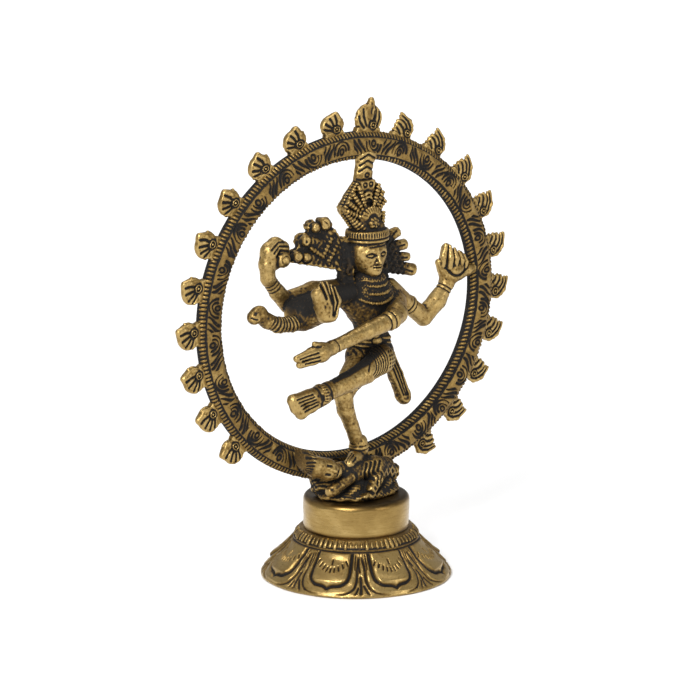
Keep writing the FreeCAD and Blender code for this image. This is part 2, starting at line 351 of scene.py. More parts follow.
def raised_foot(P):
    sole = limb(P, (-19.6, -9.8, 54.0, 2.45), (-25.0, -10.1, 53.8, 2.0), (-29.7, -10.4, 53.9, 1.5))
    edge = limb(P, (-19.6, -9.8, 53.4, 2.5), (-24.2, -10.1, 51.6, 2.0), (-27.2, -10.3, 50.1, 1.5))
    toes = limb(P, (-29.9, -10.4, 53.8, 1.6), (-28.7, -10.4, 51.9, 1.8), (-27.3, -10.3, 50.2, 1.6))
    foot = melt(melt(sole, edge, 1.2), toes, 0.8)
    foot = np.maximum(foot, -P[..., 1] - 12.2)
    facing = (-0.45, -1, 0.1)
    for number in range(5):
        k = number / 4
        start = np.array((-24.6 + 1.6 * k, -12.0, 54.9 - 3.0 * k))
        end = np.array((-30.0 + 2.6 * k, -12.2, 54.3 - 3.6 * k))
        foot = press(P, foot, [start, end], facing, 0.2, 0.42, 2.4)
    return foot


def raised_ankle_ring(P):
    ring = limb(P, (-17.4, -9.6, 54.3, 2.6), (-21.8, -9.9, 53.4, 2.75))
    for place, height, width in ((-18.8, -0.5, 0.34), (-20.2, 0.25, 0.5), (-21.6, -0.6, 0.38)):
        centre = (place, -9.7, 54.2 + (place + 17.6) * 0.2)
        ring = hoop(P, ring, centre, (-1, -0.08, -0.2), height, width)
    turn = np.arctan2(P[..., 2] - 54.0, P[..., 1] + 9.7)
    return ring + 0.16 * np.cos(turn * 22) * np.exp(-((P[..., 0] + 20.2) / 0.6) ** 2)


wax_block("leg_raised", raised_leg)
wax_block("foot_raised", raised_foot)
wax_block("anklet_raised", raised_ankle_ring, margin=2.8)

# %% [markdown]
# ## Hips, belt and sash
# A short cloth is wound round the hips and held by a belt with a knot in front. One end flies out behind
# the hip as a long, flat tail with three folds pressed into it.


# %% Hips, belt and sash
def hips(P):
    shape = limb(P, (1.6, 0.0, 58.8, 4.3), (7.0, 0.1, 59.2, 4.7), soft=1.0)
    for number in range(5):
        path = [(-3.0 + 1.2 * number, -4.5, 63.0), (-2.0 + 2.6 * number, -5.0, 57.0),
                (0.5 + 2.8 * number, -4, 54)]
        shape = press(P, shape, path, (-0.3, -1, 0.2), 0.28, 0.4, 3.0)
    return shape


def belt(P):
    shape = limb(P, (2.9, -0.1, 62.9, 3.9), (6.6, -0.1, 62.7, 3.9), soft=0.5)
    shape = np.maximum(shape, np.abs(P[..., 2] - 62.9) - 1.9)
    for z in (61.6, 62.9, 64.2):
        shape = hoop(P, shape, (4.7, -0.1, z), (0.15, 0, 1), 0.35, 0.42, 8.0)
    knot = egg(P, (3.4, -4.4, 63.6), (1.5, 1.0, 1.2))
    knot = melt(knot, limb(P, (3.0, -4.4, 65.0, 0.7), (4.2, -4.3, 65.6, 0.6)), 0.3)
    tie = limb(P, (3.4, -4.6, 63.0, 0.7), (4.4, -4.9, 60.6, 0.8))
    return melt(melt(shape, knot, 0.2), tie, 0.3)


def sash(P):
    tail = limb(P, (9.2, 1.4, 61.0, 2.4), (13.2, 2.8, 57.2, 1.9), (16.4, 3.2, 51.0, 2.05),
                (18.9, 3.2, 45.2, 2.1), (19.3, 3.2, 44.4, 1.95))
    tail = np.maximum(tail, np.abs(P[..., 1] - 3.0 + 0.12 * (P[..., 0] - 16)) - 1.3)
    for shift in (-0.9, 0.1, 1.0):
        path = [(12.6 + shift, 1.5, 58.6), (16.0 + shift, 1.6, 52.0), (18.6 + shift * 0.7, 1.6, 45.6)]
        tail = press(P, tail, path, (-0.2, -1, 0), 0.26, 0.5, 1.6)
        path = [(12.6 + shift, 4.5, 58.6), (16.0 + shift, 4.6, 52.0), (18.6 + shift * 0.7, 4.6, 45.6)]
        tail = press(P, tail, path, (0, 1, 0), 0.24, 0.35, 1.6)
    return tail


wax_block("hip_cloth", hips)
wax_block("waist_belt", belt)
wax_block("sash_tail", sash)

# %% [markdown]
# ## Body and necklaces
# The chest is broad, the waist narrow. Over the chest lie rows of beads, pressed into the wax so close
# together that the whole front stays dark when the rest is rubbed.


# %% Body
def torso(P):
    shape = limb(P, (-1.6, 0.8, 74.8, 3.5), (10.6, 0.8, 74.0, 3.6), soft=1.0)
    shape = melt(shape, egg(P, (1.4, 0.0, 73.0), (4.6, 4.2, 4.9)), 1.2)
    shape = melt(shape, egg(P, (8.0, 0.0, 72.6), (4.6, 4.2, 4.9)), 1.2)
    waist = limb(P, (3.4, 0.3, 71.0, 4.5), (4.6, 0.0, 65.6, 3.6), (4.8, 0.1, 60.5, 4.0), soft=1.5)
    waist = melt(waist, limb(P, (6.4, 0.3, 71.0, 4.3), (5.6, 0.0, 65.6, 3.6), (5.4, 0.1, 60.5, 4.0)), 1.0)
    shape = melt(shape, waist, 1.5)
    neck = limb(P, (4.3, 0.6, 75.0, 3.4), (4.4, 0.4, 82.5, 2.7))
    shape = melt(shape, neck, 1.2)
    for shift in (0.0, 0.9):
        path = [(9.6 - shift, -4.0, 77.4), (12.6 - shift, -3.5, 73.6), (13.4 - shift, -3.0, 71.0)]
        shape = press(P, shape, path, (0.3, -1, 0.3), 0.2, 0.25, 2.5)
    return shape


def strand(P, centre, across, deep, tube, beads, drop):
    """One bead string laid round the neck, lower at the front."""
    cx, cy, cz = centre
    dx = (P[..., 0] - cx) / across
    dy = (P[..., 1] - cy) / deep
    turn = np.arctan2(dy, dx)
    rim_x = cx + across * np.cos(turn)
    rim_y = cy + deep * np.sin(turn)
    rim_z = cz + drop * np.sin(turn)
    away = np.sqrt((P[..., 0] - rim_x) ** 2 + (P[..., 1] - rim_y) ** 2 + (P[..., 2] - rim_z) ** 2)
    return (away - tube * (1 + 0.28 * np.cos(turn * beads))) * 0.8


def necklaces(P):
    shape = melt(egg(P, (4.1, -0.6, 75.4), (7.2, 4.3, 5.4)), egg(P, (4.2, 0.0, 79.4), (4.6, 4.5, 3.0)), 0.8)
    rows = (((4.2, 0.1, 80.4), 4.2, 4.3, 0.34, 40, 0.8), ((4.2, 0.0, 79.4), 4.8, 4.6, 0.34, 44, 1.2),
            ((4.2, -0.2, 78.2), 5.7, 4.9, 0.36, 50, 2.0), ((4.1, -0.4, 77.2), 6.6, 5.0, 0.36, 56, 3.4))
    for centre, across, deep, tube, beads_round, drop in rows:
        shape = melt(shape, strand(P, centre, across, deep, tube, beads_round, drop), 0.12)
    crumbs = np.sin(P[..., 0] * 6.3) * np.sin(P[..., 1] * 6.9) * np.sin(P[..., 2] * 6.1 + P[..., 0])
    return shape + 0.14 * crumbs


wax_block("torso", torso)
wax_block("necklace", necklaces)

# %% [markdown]
# ## Head
# The head is an egg with a softer, narrower jaw. The face is a plain, calm one on the usual proportions:
# eyes half way down the head, the nose half way from eyes to chin, the mouth a third below it.


# %% Head
FACE_X = 3.3
FACE_Y = -5.0
EYE_Z = 86.7


def head(P):
    shape = egg(P, (FACE_X, -0.2, 87.1), (5.5, 4.9, 5.9))
    jaw = limb(P, (FACE_X, -1.5, 85.0, 4.0), (FACE_X, -2.7, 82.8, 2.4))
    shape = melt(shape, jaw, 1.6)
    # work on one half and let |x| mirror it
    Q = P.copy()
    Q[..., 0] = np.abs(P[..., 0] - FACE_X)
    socket = ((Q[..., 0] - 1.75) / 1.3) ** 2 + ((P[..., 2] - EYE_Z) / 0.8) ** 2
    shape = shape + 0.5 * np.exp(-socket) * (P[..., 1] < -2)
    nose = limb(P, (FACE_X, FACE_Y + 0.1, EYE_Z + 1.0, 0.4), (FACE_X, FACE_Y - 0.75, 84.9, 0.62), soft=0.2)
    shape = melt(shape, nose, 0.45)
    shape = melt(shape, egg(Q, (0.62, FACE_Y - 0.1, 84.75), (0.42, 0.5, 0.36)), 0.2)
    shape = melt(shape, egg(Q, (1.85, FACE_Y + 0.75, EYE_Z - 0.05), (1.15, 0.62, 0.5)), 0.12)
    brow = arc((1.9, FACE_Y + 0.55, EYE_Z - 0.9), X, Z, 2.3, 30, 140, 6)
    shape = shape - 0.24 * np.exp(-(line_distance(Q, brow) / 0.42) ** 2)
    for lift, bow in ((0.62, 0.35), (-0.58, -0.25)):
        lid = [(0.7, FACE_Y, EYE_Z), (1.9, FACE_Y, EYE_Z + lift), (3.2, FACE_Y, EYE_Z + bow * 0.3)]
        shape = press(Q, shape, lid, -Y, 0.16, 0.3, 2.6)
    upper = egg(Q, (0.45, FACE_Y + 0.05, 83.75), (0.95, 0.5, 0.32))
    lower = egg(Q, (0.25, FACE_Y + 0.1, 83.1), (0.8, 0.5, 0.36))
    shape = melt(melt(shape, upper, 0.15), lower, 0.15)
    shape = press(Q, shape, [(0, FACE_Y, 83.45), (1.3, FACE_Y, 83.5)], -Y, 0.15, 0.35, 2.0)
    shape = melt(shape, egg(P, (FACE_X, FACE_Y + 0.75, 82.0), (0.9, 0.7, 0.7)), 0.5)
    # forehead lines and a small drop between the brows
    for z in (88.9, 89.6):
        shape = press(P, shape, [(1.0, FACE_Y, z - 0.1), (FACE_X, FACE_Y, z + 0.1), (7.8, FACE_Y, z - 0.1)],
                      -Y, 0.15, 0.22, 3.2)
    shape = melt(shape, egg(P, (FACE_X, FACE_Y + 0.15, 88.2), (0.3, 0.35, 0.6)), 0.15)
    # ears with long lobes and ring earrings, and a side lock in front of each ear
    ear = limb(Q, (5.5, 0.3, 88.6, 0.75), (5.8, 0.0, 85.8, 0.85), (5.7, -0.3, 83.8, 0.95))
    shape = melt(shape, ear, 0.3)
    earring = np.sqrt((np.sqrt((Q[..., 0] - 5.8) ** 2 + (P[..., 2] - 82.6) ** 2) - 0.95) ** 2
                      + (P[..., 1] + 0.5) ** 2) - 0.4
    shape = melt(shape, earring, 0.15)
    lock = limb(Q, (5.7, 1.6, 90.2, 1.3), (6.8, 1.7, 86.6, 1.5), (6.9, 1.4, 79.2, 1.5), (5.6, 0.4, 76.2, 1.4))
    lock = np.minimum(lock, limb(Q, (5.2, 0.8, 82.0, 1.2), (5.0, -0.6, 77.4, 1.2)))
    lock = lock + 0.17 * np.cos(P[..., 2] * 4.6 + P[..., 1] * 2.6) * np.cos(P[..., 1] * 2.2 - P[..., 2])
    return melt(shape, lock, 0.3)


wax_block("head", head, margin=2.6)

# %% [markdown]
# ## Crown
# The hair is piled up behind the brow band into a spreading fan of corded locks, with a boss in front, and
# a flat post joins the fan to the ring so that the metal can run in. The cords are rope: a raised line with
# slanting cuts, which a wave along the line gives.


# %% Crown
def rope(P, path, radius, pitch=0.9):
    """A raised cord with slanting strands along a path."""
    away = line_distance(P, path)
    a = np.array(path[0], np.float32)
    run = unit(np.array(path[-1]) - np.array(path[0]))
    along = (P - a) @ run
    return away - radius * (1 + 0.26 * np.cos(2 * math.pi * along / pitch))


def crown(P):
    z = P[..., 2]
    levels = [90.4, 92.5, 96.0, 98.2, 99.4, 102.6, 105.4]
    left = np.interp(z, levels, [0.2, 0.4, -2.2, -4.2, -4.3, -1.6, 1.2])
    right = np.interp(z, levels, [8.6, 8.7, 8.7, 9.3, 9.4, 8.7, 6.4])
    x = P[..., 0] - (left + right) / 2
    half = (right - left) / 2
    lean = 1.1 * np.clip((z - 101.0) / 4.0, 0, 1)
    plate = np.abs(P[..., 1] - 1.1 - 0.012 * x * x - lean) - 1.5 + 0.5 * lean
    shape = np.maximum(np.maximum((np.abs(x) - half) * 0.8, z - 105.4), plate)
    shape = np.maximum(shape, 90.6 - z)
    shape = melt(shape, egg(P, (4.4, 0.2, 92.8), (4.5, 4.2, 3.2)), 1.2)
    heart = np.array((3.3, -1.6, 95.4))
    # corded locks that spread from the boss to the rim
    ends = ((-3.6, 98.6), (-3.2, 100.9), (-1.4, 102.6), (0.6, 104.2), (7.2, 104.0), (8.5, 102.2), (9.2, 99.8))
    for x_end, z_end in ends:
        tip = np.array((x_end, -0.6, z_end))
        start = heart + (tip - heart) * 0.36
        shape = melt(shape, rope(P, [start, tip], 0.62, 0.95), 0.1)
    # beaded edges, and the side face that looks left
    for path in ([(-4.1, -0.2, 98.8), (-1.4, 0.3, 102.8), (1.0, 0.9, 105.0)],
                 [(-4.2, 1.4, 98.8), (-1.6, 1.6, 102.4), (0.8, 2.0, 105.0)],
                 [(-4.1, 1.2, 98.0), (0.2, 1.4, 92.6)],
                 [(9.2, -0.2, 99.4), (8.6, 0.3, 102.6), (6.8, 0.9, 104.8)]):
        shape = melt(shape, rope(P, path, 0.55, 0.9), 0.1)
    for path in ([(1.6, -2.4, 93.0), (-1.8, -0.7, 96.4)], [(6.6, -2.6, 93.2), (8.6, -0.8, 96.6)],
                 [(0.9, -1.4, 92.2), (-3.9, -0.3, 98.4)]):
        shape = melt(shape, rope(P, path, 0.6, 0.95), 0.1)
    # a crescent of upright beads over the boss
    for angle in range(-68, 69, 17):
        turn = math.radians(angle)
        way = np.array((math.sin(turn), 0.0, math.cos(turn)))
        low = heart + np.array((0.1, -1.0, 0.4)) + way * 2.0
        shape = melt(shape, limb(P, (*low, 0.44), (*(low + way * 1.3 + 0.4 * Y), 0.4)), 0.05)
    # the foot of the post hangs down over the fan like a tongue, with a cup under it
    tongue = np.maximum(np.abs(P[..., 0] - 3.9) - np.interp(z, [100.6, 103.0, 106.0], [0.4, 2.1, 2.6]),
                        np.abs(P[..., 1] - 1.0) - 1.35)
    shape = melt(shape, np.maximum(tongue, np.abs(z - 103.2) - 2.6), 0.15)
    for dx in (2.95, 4.95):
        out = np.hypot(P[..., 0] - dx, z - 104.7)
        shape = shape + 0.45 * np.exp(-((out - 0.55) / 0.2) ** 2) * (P[..., 1] < 0.8)
    for rise in (0.0, 1.2):
        cup = arc((3.4, -0.9, 100.4 + rise), X, Z, 1.25 - 0.1 * rise, 30, 150, 6)
        shape = melt(shape, line_distance(P, cup) - 0.36, 0.1)
    shape = press(P, shape, arc((3.4, -1.8, 95.4), X, Z, 4.3, 30, 150, 8), -Y, 0.26, 0.4, 2.4)
    shape = melt(shape, egg(P, (3.3, -1.6, 95.7), (3.4, 1.5, 3.0)), 0.4)
    boss = egg(P, (3.2, -3.2, 95.0), (1.6, 1.2, 1.5))
    out = np.hypot(P[..., 0] - 3.2, z - 95.2)
    petal = 0.12 * np.cos(np.arctan2(z - 95.2, P[..., 0] - 3.2) * 7) * np.clip(out, 0, 1)
    boss = boss + petal + 0.2 * np.exp(-((out - 0.7) / 0.2) ** 2)
    shape = melt(shape, boss, 0.1)
    # brow band: two ridges, the upper one with short upright cuts
    band = egg(P, (3.7, -0.1, 91.3), (6.0, 5.4, 6.5))
    band = np.maximum(band, np.abs(z - 91.5) - 1.45)
    turn = np.arctan2(P[..., 1] + 0.1, P[..., 0] - 3.7)
    band = band + 0.14 * np.cos(turn * 46) * (np.abs(z - 92.0) < 0.7)
    band = band + 0.38 * np.exp(-((z - 90.9) / 0.24) ** 2)
    return melt(shape, band, 0.2)


def crown_post(P):
    z = P[..., 2]
    middle = np.interp(z, [104.0, 112.0], [4.1, 5.5])
    half = np.interp(z, [103.0, 106.0, 109.5, 112.5], [2.9, 2.85, 2.75, 3.5])
    x = P[..., 0] - middle
    y = P[..., 1] - 2.7
    shape = (np.sqrt((x / half) ** 2 + (y / 2.0) ** 2) - 1) * 2.0
    shape = np.maximum(shape, z - 113.2)
    # leaf strokes and three eyes, pressed in on the side turned to the front and left
    facing = unit((-0.45, -1, 0))
    across = unit((1, -0.45, 0))
    for step in range(4):
        lift = 108.4 + 1.6 * step
        base = np.array((np.interp(lift, [104.0, 112.0], [3.9, 5.2]), 1.4, lift))
        for side in (-1, 1):
            path = [base + 0.15 * side * across + 0.8 * Z, base + 2.1 * side * across - 0.4 * Z]
            shape = press(P, shape, path, facing, 0.24, 0.42, 2.0)
    for dx, dz in ((-1.0, 0.0), (0.9, 0.0), (0.0, 1.7)):
        centre = np.array((4.4, 0.7, 105.3 + dz), np.float32) + dx * across
        offset = P - centre
        flat = offset - (offset @ facing)[..., None] * facing
        out = np.sqrt((flat * flat).sum(-1))
        shape = shape + 0.4 * np.exp(-((out - 0.55) / 0.2) ** 2) * ((offset @ facing) > -1.2)
    return shape


wax_block("crown_fan", crown)
wax_block("crown_post", crown_post)

# %% [markdown]
# ## Flying hair
# As the figure turns, its locks stand straight out to both sides: four on one side with blunt, cut
# ends, and on the other a webbed fan with round knobs of flowers between the strands.


# %% Flying hair
# x, z and radius of the cut end of each lock on the right
LOCK_ENDS = ((15.9, 90.6, 1.35), (18.6, 86.6, 1.4), (19.7, 82.9, 1.05), (21.2, 79.0, 1.7))


def locks_right(P):
    shape = None
    for number, (x, z, end) in enumerate(LOCK_ENDS):
        start = (7.2, 1.8, 87.6 - 1.5 * number)
        reach = unit((x - start[0], 0, z - start[2]))
        along = (P - np.array(start, np.float32)) @ reach
        length = math.hypot(x - start[0], z - start[2])
        halfway = ((start[0] + x) / 2, 1.9, (start[2] + z) / 2, 1.7)
        lock = limb(P, (*start, 2.0), halfway, (x + 1, 2.0, z, end))
        lock = np.maximum(lock, along - length)
        lumps = 0.3 * np.sin(along * 2.9 + number) * np.sin(P[..., 1] * 2.0 + P[..., 2] * 2.3)
        lock = lock + lumps * np.clip((length * 0.85 - along) / 2, 0, 1)
        groove = [(start[0] + 2, 0.0, start[2]), (x - 1.5, 0.4, z + 0.2)]
        lock = press(P, lock, groove, (-0.3, -1, 0.1), 0.26, 0.35, 2.4)
        shape = lock if shape is None else melt(shape, lock, 0.1)
    return shape


# x, z and radius of each rolled end in the left hair
KNOBS = ((-10.3, 96.0, 1.7), (-13.4, 95.3, 1.3), (-16.7, 92.4, 1.5), (-19.4, 88.5, 1.4), (-16.4, 87.9, 1.3))


def locks_left(P):
    x, z = P[..., 0], P[..., 2]
    top = np.interp(x, [-20.6, -17.6, -14.4, -12.4, -8.4, -4.6, 1.6],
                    [88.6, 92.8, 96.4, 97.4, 97.0, 91.2, 90.4])
    low = np.interp(x, [-21.0, -4.8, 1.6], [87.0, 82.8, 82.2])
    web = np.maximum(np.maximum(z - top, low - z) * 0.8, np.abs(P[..., 1] - 2.4) - 1.7)
    web = np.maximum(web, np.maximum(x - 2.2, -20.8 - x))
    for x_end, z_end in ((-18.6, 90.6), (-15.0, 94.2), (-11.8, 96.2)):
        notch = [(x_end - 1.0, 0.4, z_end), (x_end + 4.6, 0.4, z_end - 1.5)]
        web = press(P, web, notch, -Y, 0.7, 1.1, 1.2)
        web = web + 1.2 * np.exp(-(np.hypot(x - x_end, z - z_end) / 0.9) ** 2)
    shape = web
    # a plaited zigzag in the middle of the dark web
    for path in ([(-7.9, 0.7, 91.8), (-11.0, 0.6, 87.4)], [(-11.0, 0.6, 87.4), (-14.8, 0.7, 90.2)],
                 [(-5.6, 0.9, 90.4), (-8.6, 0.7, 86.2)]):
        shape = melt(shape, rope(P, path, 0.55, 1.1), 0.15)
    # rolled ends with flat faces
    for kx, kz, size in KNOBS:
        knob = limb(P, (kx + 1.6, 2.4, kz - 0.6, size + 0.2), (kx, 0.9, kz, size), soft=0.1)
        knob = np.maximum(knob, -P[..., 1] - 0.15)
        shape = melt(shape, knob, 0.12)
        out = np.hypot(x - kx - 0.4, (z - kz) * 0.9)
        shape = shape + 0.4 * np.exp(-((out - size - 0.3) / 0.25) ** 2) * (P[..., 1] < 1.6)
    lumps = np.sin(x * 2.3 + np.sin(z * 1.7)) * np.sin(z * 2.1 + np.sin(x * 1.3))
    lumps = lumps * np.sin(P[..., 1] * 1.6 + x)
    return shape + 0.2 * lumps


wax_block("hair_locks_right", locks_right)
wax_block("hair_locks_left", locks_left)

# %% [markdown]
# ## Arms and hands
# Four arms in two pairs. The back pair holds the small drum and the flame, the front pair blesses and points
# to the raised foot. Wrists and upper arms wear double rings, which are just bands cut and raised on
# the roll of wax. Fingers are drawn as lines on a flat hand, as the maker does at this size.


# %% Back pair
def arm_back_right(P):
    shape = limb(P, (12.0, 1.2, 75.4, 3.1), (20.0, 2.5, 70.0, 2.3), (25.9, 3.0, 65.6, 2.45), soft=0.8)
    shape = melt(shape, limb(P, (26.0, 3.0, 65.6, 2.5), (30.8, 3.0, 69.4, 2.45), (34.3, 3.0, 73.6, 2.0)), 0.4)
    for k in (0.0, 1.1):
        shape = hoop(P, shape, (19.8 + k, 2.5, 70.2 - k * 0.75), (1, 0.1, -0.75), -0.3, 0.2)
    shape = hoop(P, shape, (20.35, 2.5, 69.8), (1, 0.1, -0.75), 0.2, 0.35)
    for k in (0.0, 1.0):
        shape = hoop(P, shape, (32.6 + k * 0.6, 3.0, 72.0 + k * 0.8), (0.6, 0, 0.8), -0.26, 0.2)
    return shape


def hand_with_flame(P):
    palm = egg(P, (36.2, 3.2, 76.8), (4.4, 2.6, 3.4))
    palm = melt(palm, limb(P, (34.2, 3.0, 74.0, 2.1), (35.6, 3.0, 76.0, 2.6)), 0.8)
    palm = melt(palm, limb(P, (38.0, 3.0, 75.8, 2.0), (41.4, 3.0, 76.4, 1.6), (43.2, 3.0, 76.8, 1.4)), 0.6)
    palm = melt(palm, limb(P, (32.4, 3.0, 77.6, 1.3), (31.3, 2.8, 79.6, 1.1)), 0.5)
    shape = press(P, palm, arc((36.2, 0.6, 79.4), X, Z, 3.6, 200, 340, 8), (-0.5, -1, 0.2), 0.4, 0.6, 3.0)
    plate = limb(P, (34.4, 3.2, 79.4, 2.6), (34.0, 3.0, 83.0, 1.5))
    plate = melt(plate, limb(P, (37.6, 3.2, 78.8, 2.2), (38.6, 3.0, 80.6, 1.3)), 0.5)
    shape = melt(shape, np.maximum(plate, np.abs(P[..., 1] - 3.0) - 1.3), 0.15)
    flutes = (((31.8, 1.9, 79.0, 0.75), (31.9, 1.7, 81.4, 0.85), (32.9, 1.9, 84.4, 0.6)),
              ((33.9, 1.5, 78.2, 0.75), (34.1, 1.3, 81.0, 0.9), (34.3, 1.8, 83.8, 0.55)),
              ((35.9, 1.5, 78.0, 0.7), (36.2, 1.3, 80.4, 0.85), (36.0, 1.9, 82.9, 0.5)),
              ((37.9, 1.6, 77.9, 0.65), (38.3, 1.5, 79.6, 0.8), (37.7, 2.0, 81.9, 0.5)),
              ((39.8, 1.9, 77.6, 0.6), (40.2, 1.9, 78.8, 0.7), (39.6, 2.2, 80.7, 0.5)))
    for flute in flutes:
        shape = melt(shape, limb(P, *flute, soft=0.2), 0.06)
    return shape


def arm_back_left(P):
    shape = limb(P, (-2.4, 2.6, 76.8, 3.3), (-12.0, 3.0, 77.0, 3.4), (-19.4, 3.2, 76.2, 3.1), soft=1.0)
    fore = limb(P, (-20.4, 3.2, 75.6, 2.5), (-24.0, 3.2, 79.2, 2.1), (-27.3, 3.0, 83.4, 1.9))
    shape = melt(shape, fore, 0.5)
    for k in (0.0, 1.0, 2.0):
        shape = hoop(P, shape, (-25.0 - 0.6 * k, 3.1, 80.7 + 0.8 * k), (-0.62, 0, 0.79), -0.2, 0.18)
    return shape


def hand_with_drum(P):
    palm = limb(P, (-27.4, 3.0, 83.4, 1.9), (-27.5, 3.0, 87.2, 2.2), (-26.7, 3.0, 90.4, 2.4),
                (-24.8, 3.0, 91.8, 2.3), soft=0.8)
    fingers = limb(P, (-25.0, 3.0, 91.6, 2.2), (-23.0, 2.8, 90.8, 2.0), (-22.3, 2.6, 88.6, 1.6))
    shape = melt(palm, fingers, 0.4)
    shape = melt(shape, limb(P, (-26.4, 3.0, 87.2, 1.7), (-24.0, 2.8, 89.2, 1.8)), 0.3)
    for k in range(3):
        path = [(-28.0 + 0.8 * k, 0.4, 91.4 - 1.0 * k), (-25.6 + 0.2 * k, 0.4, 93.2 - 1.1 * k),
                (-22.4, 0.6, 92.9 - 1.3 * k)]
        shape = press(P, shape, path, (-0.6, -1, 0.3), 0.3, 0.55, 2.6)
    drum_ball = egg(P, (-23.4, 1.7, 88.0), (2.1, 1.9, 2.1))
    waist = np.hypot(P[..., 0] + 23.4, P[..., 2] - 88.0)
    drum_ball = drum_ball + 0.2 * np.exp(-((waist - 1.2) / 0.22) ** 2)
    shape = melt(shape, drum_ball, 0.12)
    return melt(shape, limb(P, (-26.6, 3.0, 86.0, 1.3), (-24.6, 2.6, 87.0, 1.3)), 0.3)


wax_block("arm_back_right", arm_back_right)
wax_block("hand_flame", hand_with_flame)
wax_block("arm_back_left", arm_back_left)
wax_block("hand_drum", hand_with_drum, margin=2.2)


# %% Front pair
def arm_front_right(P):
    shape = limb(P, (12.6, -0.8, 72.0, 3.2), (8.6, -6.2, 70.6, 2.75), (5.2, -8.4, 69.8, 2.45), soft=1.2)
    fore = limb(P, (5.2, -8.4, 69.8, 2.45), (-4.0, -9.3, 68.2, 2.2), (-14.6, -10.3, 66.4, 1.75))
    shape = melt(shape, fore, 0.8)
    for k in (0.0, 1.7):
        shape = hoop(P, shape, (4.6 - k, -8.5, 69.6 - k * 0.17), (-1, -0.1, -0.2), -0.42, 0.24)
    shape = hoop(P, shape, (3.75, -8.5, 69.5), (-1, -0.1, -0.2), 0.22, 0.45)
    return press(P, shape, [(9.6, -9.5, 73.0), (11.0, -8.5, 71.0)], (-0.1, -1, 0.3), 0.18, 0.25, 2.5)


def wrist_ring(P):
    ring = limb(P, (-13.8, -10.2, 66.5, 1.85), (-17.0, -10.5, 65.9, 1.9))
    for place, height in ((-14.3, -0.42), (-16.1, -0.42)):
        ring = hoop(P, ring, (place, -10.3, 66.4 + (place + 13.8) * 0.19), (-1, -0.1, -0.19), height, 0.25)
    return ring


def pointing_hand(P):
    palm = limb(P, (-16.8, -10.5, 66.0, 1.75), (-21.0, -10.9, 65.2, 2.35), (-24.0, -11.1, 64.9, 2.2),
                soft=0.8)
    top = limb(P, (-24.0, -11.1, 65.6, 1.6), (-29.6, -11.5, 65.0, 0.95))
    low = limb(P, (-24.0, -11.1, 64.0, 1.6), (-28.6, -11.4, 63.2, 0.95))
    shape = melt(melt(palm, top, 0.6), low, 0.6)
    thumb = limb(P, (-19.6, -10.9, 66.6, 1.2), (-23.4, -11.2, 67.9, 0.75))
    shape = melt(shape, thumb, 0.3)
    for k in range(3):
        path = [(-23.6 + 0.3 * k, -13.0, 65.9 - 1.05 * k), (-29.4 + 0.9 * k, -13.0, 65.0 - 0.75 * k)]
        shape = press(P, shape, path, (-0.5, -1, 0.1), 0.24, 0.5, 2.6)
    return shape


def arm_front_left(P):
    shape = limb(P, (-2.8, -1.0, 77.0, 2.3), (-10.0, -1.2, 76.4, 2.6), (-15.6, -1.6, 74.6, 3.9),
                 (-20.2, -1.8, 73.9, 4.4), soft=1.0)
    fore = limb(P, (-18.4, -3.0, 74.6, 3.9), (-18.2, -7.6, 76.4, 3.6))
    fore = melt(fore, limb(P, (-19.0, -3.4, 73.4, 3.4), (-18.4, -7.0, 74.6, 2.8)), 0.8)
    return melt(shape, fore, 0.8)


def blessing_hand(P):
    outer = limb(P, (-21.4, -9.9, 80.6, 1.7), (-18.8, -9.6, 74.6, 2.0))
    middle = limb(P, (-19.3, -10.1, 82.4, 1.7), (-17.2, -9.6, 74.6, 2.1))
    inner = limb(P, (-17.3, -10.0, 81.2, 1.6), (-15.3, -9.6, 77.9, 1.6), (-16.6, -9.6, 74.8, 1.9))
    shape = melt(melt(outer, middle, 0.8), inner, 0.8)
    shape = melt(shape, limb(P, (-18.2, -7.4, 76.6, 3.2), (-18.2, -9.4, 77.2, 3.0)), 0.8)
    shape = np.maximum(shape, -P[..., 1] - 11.5)
    facing = (-0.5, -1, 0.05)
    grooves = ([(-21.6, 83.8), (-19.6, 79.4)], [(-20.3, 84.2), (-18.6, 80.4), (-17.6, 77.8)],
               [(-18.8, 84.0), (-17.2, 78.1), (-17.3, 74.7)], [(-17.4, 82.2), (-15.8, 77.9), (-16.8, 74.6)])
    for groove in grooves:
        shape = press(P, shape, [(x, -11.6, z) for x, z in groove], facing, 0.34, 0.8, 3.0)
    return shape


def serpent(P):
    body = limb(P, (-20.2, -2.6, 72.0, 2.5), (-25.0, -3.6, 72.2, 2.0), (-29.6, -4.0, 72.6, 1.95),
                (-33.2, -4.0, 74.2, 1.95), (-36.2, -4.0, 76.4, 2.05), soft=0.8)
    turn = np.arctan2(P[..., 2] - 80.5, P[..., 0] + 27.0)
    ribs = 0.15 * np.cos(turn * 44) * np.clip((-23.0 - P[..., 0]) / 0.8, 0, 1)
    ribs = ribs * np.clip((P[..., 0] + 33.6) / 0.8, 0, 1)
    body = body + ribs * (P[..., 2] < 75)
    snout = limb(P, (-35.6, -4.0, 76.6, 2.0), (-37.6, -4.0, 75.8, 1.9))
    body = melt(body, snout, 0.5)
    for side in (-1, 1):
        eye_at = np.sqrt(((P - np.array((-38.2, -4.0 + 1.4 * side, 77.0), np.float32)) ** 2).sum(-1))
        body = body + 0.22 * np.exp(-(eye_at / 0.4) ** 2)
    return press(P, body, [(-39.6, -6, 75.9), (-38.0, -6, 75.5)], (-0.4, -1, 0), 0.2, 0.3, 2.4)


wax_block("arm_front_right", arm_front_right)
wax_block("bracelet_front_right", wrist_ring)
wax_block("hand_crossing", pointing_hand)
wax_block("arm_front_left", arm_front_left)
wax_block("hand_blessing", blessing_hand, margin=3.6)
wax_block("snake", serpent)

